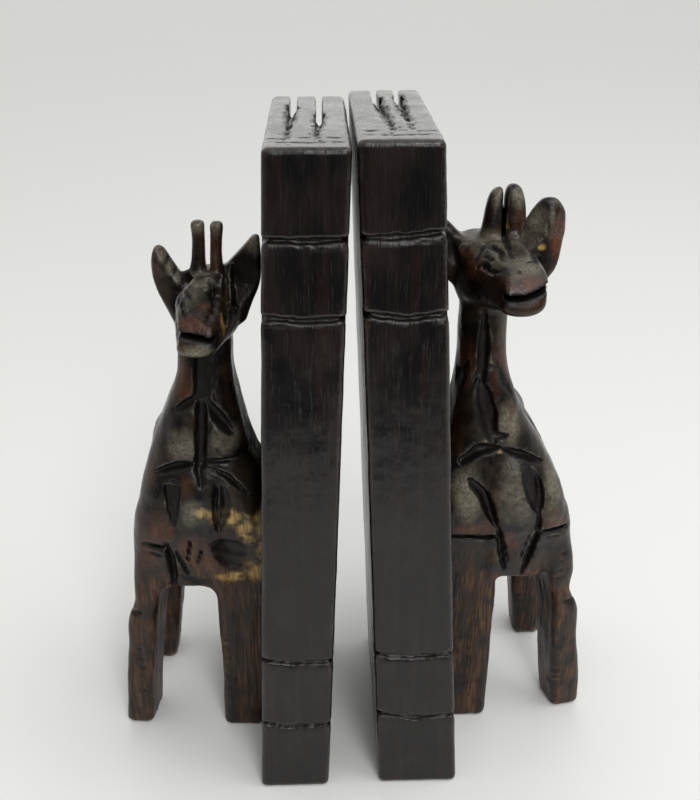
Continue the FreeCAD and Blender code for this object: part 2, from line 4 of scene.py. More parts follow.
import bpy
import numpy as np
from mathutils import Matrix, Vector


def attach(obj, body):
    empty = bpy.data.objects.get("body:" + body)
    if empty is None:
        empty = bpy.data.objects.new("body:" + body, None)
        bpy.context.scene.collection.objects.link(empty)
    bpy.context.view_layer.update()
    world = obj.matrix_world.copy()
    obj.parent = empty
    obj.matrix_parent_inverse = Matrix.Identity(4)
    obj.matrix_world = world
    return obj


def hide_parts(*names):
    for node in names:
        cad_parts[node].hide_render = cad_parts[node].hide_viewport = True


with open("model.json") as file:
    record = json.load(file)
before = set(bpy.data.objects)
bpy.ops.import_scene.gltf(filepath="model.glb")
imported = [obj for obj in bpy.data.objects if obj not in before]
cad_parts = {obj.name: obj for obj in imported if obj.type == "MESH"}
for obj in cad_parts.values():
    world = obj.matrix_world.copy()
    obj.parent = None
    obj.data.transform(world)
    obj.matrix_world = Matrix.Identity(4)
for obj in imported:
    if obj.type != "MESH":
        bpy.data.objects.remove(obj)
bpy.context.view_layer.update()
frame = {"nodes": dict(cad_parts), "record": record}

# A pair of carved giraffe bookends.  Each book block and each giraffe is carved here from a signed distance
# held on a grid: limbs are added, cuts of saw, knife and gouge are taken away, and the skin of what is left
# becomes the mesh.  Carving is done in millimetres in each piece's own frame: "out" is the distance outward
# from the bottom outer edge of the book, "back" is measured from the middle of the book's depth, and "up"
# is the height above the floor.

MM = 0.001
COARSE = 1.0
# A distance outside everything, and how far either side of the skin distances have to be right.
FAR = 50.0
SKIN_ROOM = 3
LEFT, RIGHT = "left", "right"
SIGN = {LEFT: -1, RIGHT: 1}

# ---- Where things are ----

MOUNTS = {mount["name"]: mount for mount in frame["record"]["mounts"]}
BOOK_DEPTH = 74.0
GLUE_LINE = 0.1
# Height of each book, and its thickness at the foot and at the head.
BOOKS = {
    LEFT: {"height": 200.0, "foot": 21.2, "head": 21.6},
    RIGHT: {"height": 201.5, "foot": 24.5, "head": 21.1},
}
# How far the page sides lean towards each other from foot to head.
INNER_LEAN = 7.4
# How far in front of the middle of its book each giraffe's "back" is measured from.
SET_FORWARD = {LEFT: 0.0, RIGHT: 0.8}


def base_point(side):
    """The middle of a book's bottom face, in mm."""
    return [value / MM for value in MOUNTS[f"{side}_base"]["pos_m"]]


def foot_edge(side):
    """X of the book's bottom outer edge, where "out" is 0."""
    return base_point(side)[0] + SIGN[side] * BOOKS[side]["foot"] / 2


def outer_face(side, up):
    """How far "out" the book's giraffe side is at a height."""
    book = BOOKS[side]
    return (book["head"] - book["foot"] - INNER_LEAN) * up / book["height"]


def middle_back(side):
    """Y of the plane where a giraffe's "back" is 0."""
    return base_point(side)[1] - SET_FORWARD[side]


# ---- Noise ----

LATTICE = 32
CORNERS = [(i, j, k) for i in (0, 1) for j in (0, 1) for k in (0, 1)]


def noise(points, scale, seed):
    """Smooth noise from -1 to 1 at an N x 3 array of points; scale is the size of its bumps in mm."""
    table = np.random.default_rng(seed).uniform(-1, 1, (LATTICE,) * 3).astype(np.float32)
    place = np.asarray(points, np.float32) / np.asarray(scale, np.float32)
    cell = np.floor(place).astype(np.int64)
    part = place - cell
    part = part * part * (3 - 2 * part)
    total = np.zeros(len(place), np.float32)
    for step in CORNERS:
        corner = (cell + step) % LATTICE
        share = np.abs(1 - np.array(step, np.float32) - part)
        total += share[:, 0] * share[:, 1] * share[:, 2] * table[tuple(corner.T)]
    return total


# ---- The block of wood being carved ----

# Which axis a side is seen along, and which way.
FROM_FRONT, FROM_REAR, FROM_OUTSIDE, FROM_ABOVE = (1, 1), (1, -1), (0, -1), (2, -1)
# How far round a saw cut, and how deep in a knife cut, the wood is coloured as cut: raw wood on the books,
# painted shade with dark wax on the giraffes.
SCAR_REACH, SCAR_DEPTH = 1.2, 0.9


def spaced(low, high, step, zones=(), fine=None):
    """Grid places from low to high, closer together inside the zones."""
    places = [low]
    while places[-1] < high:
        here = places[-1]
        close = any(first <= here <= last for first, last in zones)
        places.append(here + (fine if close else step) * COARSE)
    return np.array(places)


def smooth_min(first, second, blend):
    """The lesser of two distances, rounded over where they are within blend of each other."""
    if blend <= 0:
        return np.minimum(first, second)
    overlap = np.maximum(blend - np.abs(first - second), 0) / blend
    return np.minimum(first, second) - overlap * overlap * blend / 4


class Carving:
    """A block of wood as a signed distance, negative inside."""

    def __init__(self, outs, backs, ups):
        self.axes = (outs, backs, ups)
        self.low, self.high = zip(*((axis[0], axis[-1]) for axis in self.axes))
        self.field = np.full((len(outs), len(backs), len(ups)), FAR, np.float32)
        self.scar = np.zeros_like(self.field)

    def window(self, low, high, room=0.0):
        """The part of the grid inside a box and the room round it, and its coordinates there."""
        parts = []
        for axis, first, last in zip(self.axes, low, high):
            start = max(int(np.searchsorted(axis, first - room)) - 1, 0)
            stop = min(int(np.searchsorted(axis, last + room)) + 1, len(axis))
            parts.append(slice(start, stop))
        out, back, up = (axis[part] for axis, part in zip(self.axes, parts))
        return tuple(parts), out[:, None, None], back[None, :, None], up[None, None, :]

    def add(self, low, high, distance, blend=0.0):
        """Joins on what is inside a distance, within the box from low to high."""
        where, out, back, up = self.window(low, high, blend + SKIN_ROOM)
        self.field[where] = smooth_min(self.field[where], distance(out, back, up), blend)

    def cut(self, low, high, distance, blend=0.0, scar=0.0):
        """Takes away what is inside a distance; scar, from 0 to 1, is how strongly the cut wood is coloured:
        raw on the books, painted shade and dark wax on the giraffes.
        """
        where, out, back, up = self.window(low, high, blend + SKIN_ROOM)
        taken = distance(out, back, up)
        self.field[where] = -smooth_min(-self.field[where], taken, blend)
        if scar:
            self.scar[where] = np.maximum(self.scar[where], scar * np.clip(1 - taken / SCAR_REACH, 0, 1))

    def roughen(self, amount, scale, seed, high=None):
        """Adds noise to the skin, everywhere or up to a high corner."""
        where, out, back, up = self.window(self.low, high or self.high)
        field = self.field[where]
        near = np.nonzero(np.abs(field) < SKIN_ROOM)
        points = np.stack([out[near[0], 0, 0], back[0, near[1], 0], up[0, 0, near[2]]], axis=1)
        field[near] += amount * noise(points, scale, seed)

    def carve(self, view, strokes, limit, reach=5.0):
        """Bites into the first skin met from one side.  A stroke gives, for flat maps of the two other
        coordinates, how deep it bites.  Bites stay within reach of the skin, on the near side of limit."""
        axis, direction = view
        others = [number for number in range(3) if number != axis]
        first, second = np.meshgrid(self.axes[others[0]], self.axes[others[1]], indexing="ij")
        bites = [bite(first, second) for bite in strokes]
        bite = np.maximum(np.max(bites, axis=0), 0) + np.minimum(np.min(bites, axis=0), 0)
        field = np.moveaxis(self.field, axis, 2)
        places = self.axes[axis]
        if direction < 0:
            field, places = field[:, :, ::-1], places[::-1]
        inside = field < 0
        skin = places[inside.argmax(axis=2)]
        depth_in = (places[None, None, :] - skin[:, :, None]) * direction
        allowed = (places * direction < limit * direction)[None, None, :]
        touched = (depth_in < reach) & allowed & (bite != 0)[:, :, None] & inside.any(axis=2)[:, :, None]
        field += np.where(touched, bite[:, :, None], 0)
        scar = np.moveaxis(self.scar, axis, 2)
        scar = scar[:, :, ::-1] if direction < 0 else scar
        np.maximum(scar, np.where(touched, bite[:, :, None] / SCAR_DEPTH, 0), out=scar)


# ---- Limbs and cuts ----

UPRIGHT, LEVEL = 2, 1
LIMB_END = 1.5


def along(sections, at):
    """A limb's five section sizes at each place along it, on a smooth curve through its stations."""
    table = np.array(sorted(sections), float)
    stations, values = table[:, 0], table[:, 1:]
    slopes = np.gradient(values, stations, axis=0)
    at = np.clip(at, stations[0], stations[-1])
    index = np.clip(np.searchsorted(stations, at) - 1, 0, len(stations) - 2)
    gap = stations[index + 1] - stations[index]
    share = ((at - stations[index]) / gap)[:, None]
    gap = gap[:, None]
    squared, cubed = share ** 2, share ** 3
    curve = (2 * cubed - 3 * squared + 1) * values[index]
    curve += (cubed - 2 * squared + share) * gap * slopes[index]
    curve += (3 * squared - 2 * cubed) * values[index + 1] + (cubed - squared) * gap * slopes[index + 1]
    return curve.T


def add_limb(carving, direction, turn, blend, sections):
    """A limb through rounded-rectangle sections (station, inner, outer, low, high, corner)."""
    lowest, highest = np.min(sections, axis=0), np.max(sections, axis=0)
    first, last = lowest[0], highest[0]
    low, high = [lowest[1], lowest[3]], [highest[2], highest[4]]
    low.insert(direction, first)
    high.insert(direction, last)
    cosine, sine = math.cos(math.radians(turn)), math.sin(math.radians(turn))

    def distance(out, back, up):
        station = up if direction == UPRIGHT else back
        side = back if direction == UPRIGHT else up
        sizes = along(sections, station.ravel())
        inner, outer, near, far, corner = (size.reshape(station.shape) for size in sizes)
        u = out - (inner + outer) / 2
        v = side - (near + far) / 2
        if turn:
            u, v = u * cosine + v * sine, v * cosine - u * sine
        across = np.abs(u) - (outer - inner) / 2 + corner
        through = np.abs(v) - (far - near) / 2 + corner
        flat = np.hypot(np.maximum(across, 0), np.maximum(through, 0))
        flat = flat + np.minimum(np.maximum(across, through), 0) - corner
        cap = np.maximum(first - station, station - last)
        flat, cap = flat + LIMB_END, cap + LIMB_END
        rounded = np.hypot(np.maximum(flat, 0), np.maximum(cap, 0)) - LIMB_END
        return rounded + np.minimum(np.maximum(flat, cap), 0)

    carving.add(low, high, distance, blend)


# How full a stroke is at each share of the way along: pointed at both ends, even, or thinning to its end.
TAPERS = {
    "leaf": lambda reached: np.clip(4 * reached * (1 - reached), 0, 1) ** 0.75,
    "line": np.ones_like,
    "tail": lambda reached: np.clip(1 - reached, 0, 1) ** 0.6,
}
# How far from a stroke the wood is rubbed down, and the size of the ripples in its edges.
SHOULDER_REACH, RIPPLE = 3.2, 1.6


def nearest(points, first, second):
    """How far places are from a line of points, and what share of the way along it they are, from 0 to 1."""
    steps = np.linalg.norm(np.diff(points, axis=0), axis=1)
    best, reached, travelled = np.full(first.shape, FAR), np.zeros(first.shape), 0.0
    for start, stop, step in zip(points[:-1], points[1:], steps):
        along_x, along_y = (stop - start) / step
        ahead = np.clip((first - start[0]) * along_x + (second - start[1]) * along_y, 0, step)
        apart = np.hypot(first - start[0] - ahead * along_x, second - start[1] - ahead * along_y)
        closer = apart < best
        best = np.where(closer, apart, best)
        reached = np.where(closer, (travelled + ahead) / steps.sum(), reached)
        travelled += step
    return best, reached


def stroke(points, width, depth, flat=0.0, taper="leaf", *, wander=0.25, seed=0, shoulder=0.0):
    """A knife stroke along a line of points.  flat is the share of the width that is full depth, 0 for a V
    and 1 for a saw; wander is how ragged its edges are, and shoulder how far the wood beside it is rubbed
    down.  A tail starts square."""
    points = np.array(points, float)
    (start_a, start_b), (next_a, next_b) = points[:2]

    def bite(first, second):
        result = np.zeros_like(first)
        margin = width + (SHOULDER_REACH if shoulder else 0)
        low, high = points.min(axis=0) - margin, points.max(axis=0) + margin
        near = (first > low[0]) & (first < high[0]) & (second > low[1]) & (second < high[1])
        if not near.any():
            return result
        a, b = first[near], second[near]
        apart, reached = nearest(points, a, b)
        waver = noise(np.stack([a, b, np.full_like(a, seed * 3.7)], axis=1), RIPPLE, 90 + seed) * wander
        fullness = TAPERS[taper](reached)
        half = width / 2 * (0.12 + 0.88 * fullness)
        share = np.clip(1 - (apart + waver) / half, 0, 1)
        profile = np.clip(share / max(1 - flat, 0.08), 0, 1)
        if taper == "tail":
            profile[(a - start_a) * (next_a - start_a) + (b - start_b) * (next_b - start_b) <= 0] = 0
        rubbed = np.clip(1 - apart / (half + SHOULDER_REACH), 0, 1) ** 2
        result[near] = depth * (0.35 + 0.65 * fullness) * profile
        result[near] += shoulder * rubbed * np.clip(2 * fullness, 0, 1)
        return result

    return bite


def hollow(centre, size, depth, turn=0.0, power=2.0):
    """A shallow round-bottomed gouge, or a swelling where depth is negative."""
    cosine, sine = math.cos(math.radians(turn)), math.sin(math.radians(turn))

    def bite(first, second):
        a, b = first - centre[0], second - centre[1]
        u, v = a * cosine + b * sine, b * cosine - a * sine
        gone = np.hypot(u / size[0], v / size[1])
        return depth * np.clip(1 - gone ** power, 0, 1)

    return bite


# ---- From carving to mesh ----

# How much a point stands out from its neighbours, in mm, where wear on edges and painted shade in hollows
# show in full.
WEAR_AND_SHADE_CURVE = 0.20


def skin_of(carving):
    """The surface net of a carving: its points, their scars, and its four-sided faces, facing outward."""
    field = carving.field
    inside = field < 0
    shape = [n - 1 for n in field.shape]

    def shifted(array, corner):
        return array[tuple(slice(c, c + n) for c, n in zip(corner, shape))]

    count = sum(shifted(inside, corner).astype(np.int8) for corner in CORNERS)
    crossing = (count > 0) & (count < 8)
    cells = np.argwhere(crossing)
    index = np.full(shape, -1, np.int64)
    index[crossing] = np.arange(len(cells))
    total = np.zeros((len(cells), 3))
    hits = np.zeros(len(cells))
    for axis in range(3):
        for corner in CORNERS:
            if corner[axis]:
                continue
            start = cells + corner
            stop = start.copy()
            stop[:, axis] += 1
            a, b = field[tuple(start.T)], field[tuple(stop.T)]
            crosses = (a < 0) != (b < 0)
            share = np.where(crosses, a / np.where(crosses, a - b, 1), 0)
            for number in range(3):
                places = carving.axes[number]
                here = places[start[:, number]]
                if number == axis:
                    here = here + share * (places[stop[:, number]] - here)
                total[:, number] += np.where(crosses, here, 0)
            hits += crosses
    points = total / hits[:, None]
    faces = []
    for axis in range(3):
        u, v = (axis + 1) % 3, (axis + 2) % 3
        low = [slice(1, -1)] * 3
        low[axis] = slice(0, -1)
        high = list(low)
        high[axis] = slice(1, None)
        first, second = inside[tuple(low)], inside[tuple(high)]
        edges = np.argwhere(first != second)
        outward = first[tuple(edges.T)]
        start = edges + [0 if number == axis else 1 for number in range(3)]
        ring = []
        for du, dv in ((-1, -1), (0, -1), (0, 0), (-1, 0)):
            cell = start.copy()
            cell[:, u] += du
            cell[:, v] += dv
            ring.append(index[tuple(cell.T)])
        quads = np.stack(ring, axis=1)
        quads[~outward] = quads[~outward][:, ::-1]
        faces.append(quads)
    scar = np.max([shifted(carving.scar, corner)[crossing] for corner in CORNERS], axis=0)
    return points, scar, np.concatenate(faces)


def neighbours(quads):
    """Pairs of points that share an edge, both ways round."""
    pairs = np.concatenate([quads[:, [i, (i + 1) % 4]] for i in range(4)])
    return np.concatenate([pairs, pairs[:, ::-1]])


def relaxed(points, pairs, rounds, strength=0.5):
    """The points after some rounds of moving each one towards the middle of its neighbours."""
    degree = np.bincount(pairs[:, 0], minlength=len(points))[:, None]
    moved = points.copy()
    for _ in range(rounds):
        middle = np.stack([np.bincount(pairs[:, 0], moved[pairs[:, 1], axis], len(points))
                           for axis in range(3)], axis=1) / degree
        moved += strength * (middle - moved)
    return moved


def normals_of(points, quads):
    """The outward direction at each point."""
    across = points[quads[:, 2]] - points[quads[:, 0]]
    over = points[quads[:, 3]] - points[quads[:, 1]]
    face = np.cross(across, over)
    result = np.zeros_like(points)
    for corner in range(4):
        for axis in range(3):
            result[:, axis] += np.bincount(quads[:, corner], face[:, axis], len(points))
    return result / np.maximum(np.linalg.norm(result, axis=1, keepdims=True), 1e-9)


def add_object(name, data):
    made = bpy.data.objects.new(name, data)
    bpy.context.collection.objects.link(made)
    return made


def make_piece(name, side, carving, marks, material, middle, lean=None):
    """The mesh object of a carving.  marks(points, normal) gives the colour marks stored on its points,
    middle is the Y where "back" is 0, and lean(up) moves the points of a block carved upright outward."""
    points, scar, quads = skin_of(carving)
    pairs = neighbours(quads)
    points = relaxed(points, pairs, 1, 0.3)
    normal = normals_of(points, quads)
    hollowness = ((relaxed(points, pairs, 5) - points) * normal).sum(axis=1) / WEAR_AND_SHADE_CURVE
    sign = SIGN[side]
    out = points[:, 0] + (lean(points[:, 2]) if lean else 0)
    placed = np.stack([foot_edge(side) + sign * out, middle + points[:, 1], points[:, 2]], axis=1) * MM
    if sign < 0:
        quads = quads[:, ::-1]
    mesh = bpy.data.meshes.new(name)
    mesh.from_pydata(placed.tolist(), [], quads.tolist())
    mesh.update()
    mesh.shade_smooth()
    # Standing edges are marked for wear, and hollows for painted shade.
    layers = {"edge": -hollowness, "hollow_shade": hollowness, "scar": scar, **marks(points, normal)}
    for layer, values in layers.items():
        attribute = mesh.attributes.new(layer, "FLOAT", "POINT")
        attribute.data.foreach_set("value", np.clip(values, 0, 1).astype(np.float32))
    mesh.materials.append(material)
    return add_object(name, mesh)


def settle(piece, node, body):
    """Sets a piece on its body, in place of its CAD node."""
    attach(piece, body)
    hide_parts(node)


# ---- Books ----

EDGE_RADIUS = 1.6
SLOT_WIDTH = 2.3
SLOT_FLOOR = 12.0
FORE_EDGE_CUT = 8.0
PAGE_FLARE = 42.0
# Saw cuts between the bundles of pages: distance out from the page side, and how far forward they reach.
PAGE_SLOTS = {
    LEFT: [(15.0, 17.0), (7.6, 4.0)],
    RIGHT: [(14.0, 23.0), (7.4, 19.0)],
}
# Tears beside the page cuts: how far to the side, how much shorter or longer than the cut, and their seed.
TEARS = [(-1.5, 6.0, 5), (1.6, 2.0, 6), (0.6, -6.0, 7), (-0.6, -12.0, 8)]
# Lines cut across the spine: heights at the page side, the middle and the giraffe side.
BAND_LINES = {
    LEFT: [(25.4, 24.3, 26.0), (49.2, 48.6, 50.0), (157.2, 156.5, 157.6), (177.8, 177.2, 177.8)],
    RIGHT: [(28.0, 26.0, 27.2), (51.0, 49.4, 50.6), (158.0, 156.6, 157.8), (178.0, 178.1, 179.2)],
}


def thickness(side, up):
    """From the page side of a book to its giraffe side, at a height."""
    book = BOOKS[side]
    return book["foot"] + (book["head"] - book["foot"]) * up / book["height"]


def cut_page_slot(carving, side, from_pages, front):
    """A saw cut down the fore-edge that runs deep into the top and dies out above the foot."""
    height = BOOKS[side]["height"]
    half_depth = BOOK_DEPTH / 2

    def distance(out, back, up):
        middle = from_pages - thickness(side, up)
        waver = 0.18 * np.sin(up / 7.0 + from_pages) + 0.12 * np.sin(back / 3.0)
        blade = np.abs(out - middle) - SLOT_WIDTH / 2 - waver
        end = np.interp(up.ravel(), [height - PAGE_FLARE, height], [half_depth - FORE_EDGE_CUT, front])
        return np.maximum(np.maximum(blade, end.reshape(up.shape) - back), SLOT_FLOOR - up)

    low = [-thickness(side, height), front, SLOT_FLOOR]
    carving.cut(low, [0, half_depth + 2, height + 2], distance)


def top_strokes(side):
    """The torn ends of the page cuts and the scribed lines across the top of a book."""
    thick = thickness(side, BOOKS[side]["height"])
    strokes = []
    for number, (from_pages, front) in enumerate(PAGE_SLOTS[side]):
        middle = from_pages - thick
        drift = 0.9 if side == LEFT else 2.2 * number
        tail = -24.0 - number
        bends = [(middle, front + 3), (middle + drift * 0.6, (front + tail) / 2), (middle + drift, tail)]
        strokes.append(stroke(bends, 3.0, 2.6, 0.2, "tail", wander=0.5, seed=number))
        for offset, reach, seed in TEARS:
            tear = [(middle + offset, front + 2 + offset), (middle + drift + offset, tail + reach)]
            strokes.append(stroke(tear, 0.9, 0.9, 0.0, "tail", wander=0.3, seed=seed + number))
    for back, width, depth, inner, outer in ((-25.6, 1.0, 0.6, -thick + 0.6, -thick * 0.68),
                                             (-25.2, 0.9, 0.6, -thick * 0.55, -thick * 0.36),
                                             (-26.4, 0.9, 0.5, -thick * 0.3, -0.6),
                                             (-31.0, 1.1, 0.5, -thick + 2.0, -2.5)):
        line = [(inner, back + 0.5), ((inner + outer) / 2, back), (outer, back + 0.6)]
        strokes.append(stroke(line, width, depth, wander=0.3, seed=11))
    return strokes


def spine_strokes(side):
    """The band lines, each with a worn lip below it."""
    strokes = []
    for number, (pages, middle, giraffe) in enumerate(BAND_LINES[side]):
        thick = thickness(side, middle)
        line = [(-thick - 2, pages), (-thick + 1.5, pages - 0.2), (-thick / 2, middle),
                (-1.5, giraffe - 0.2), (2, giraffe)]
        lip = [(across, up - 1.3) for across, up in line]
        rough = 0.5 if number < 2 else 0.25
        strokes.append(stroke(line, 2.0, 1.5, 0.45, "line", wander=rough, seed=20 + number))
        strokes.append(stroke(lip, 2.6, 0.3, 0.0, "line", wander=rough, seed=30 + number))
    return strokes


def carve_book(side):
    """The book, upright, before it is leaned."""
    height = BOOKS[side]["height"]
    half_depth = BOOK_DEPTH / 2
    thick = max(BOOKS[side]["foot"], BOOKS[side]["head"])
    band_zones = [(min(levels) - 2.6, max(levels) + 1.8) for levels in BAND_LINES[side]]
    # The grid is finer at the block's edges, its band lines and the lines across its top.
    carving = Carving(
        spaced(-thick - 1.6, 1.7, 0.62),
        spaced(-half_depth - 1.5, half_depth + 1.6, 1.0,
               [(-half_depth - 1.5, -33), (-32.6, -30), (-27.4, -24), (half_depth - 3, half_depth + 2)], 0.5),
        spaced(-1.4, height + 1.5, 1.2, [*band_zones, (-1.4, 3), (height - 4, height + 2)], 0.45))

    def slab(out, back, up):
        half = thickness(side, up) / 2
        beyond = np.stack(np.broadcast_arrays(np.abs(out + half) - half + EDGE_RADIUS,
                                              np.abs(back) - half_depth + EDGE_RADIUS,
                                              np.abs(up - height / 2) - height / 2 + EDGE_RADIUS))
        outside = np.sqrt((np.maximum(beyond, 0) ** 2).sum(axis=0))
        return outside + np.minimum(beyond.max(axis=0), 0) - EDGE_RADIUS

    carving.add([-thick, -half_depth, 0], [0, half_depth, height], slab)
    carving.roughen(0.10, 9.0, 1 + len(side))
    carving.roughen(0.05, 2.4, 2 + len(side))
    for from_pages, front in PAGE_SLOTS[side]:
        cut_page_slot(carving, side, from_pages, front)
    carving.carve(FROM_FRONT, spine_strokes(side), -half_depth + 5, reach=4.0)
    carving.carve(FROM_ABOVE, top_strokes(side), height - 6, reach=4.0)
    return carving


def build_book(side, material):
    def lean(up):
        return outer_face(side, up)

    def marks(points, normal):
        """The level top of the block, painted lighter as a highlight."""
        level = np.clip(normal[:, 2] * 1.6 - 0.6, 0, 1)
        return {"crown": level * (points[:, 2] > BOOKS[side]["height"] - 3)}

    middle = base_point(side)[1]
    piece = make_piece(f"{side}_book_block", side, carve_book(side), marks, material, middle, lean)
    settle(piece, f"{side}_book", f"{side}_bookend")


# ---- Giraffes ----

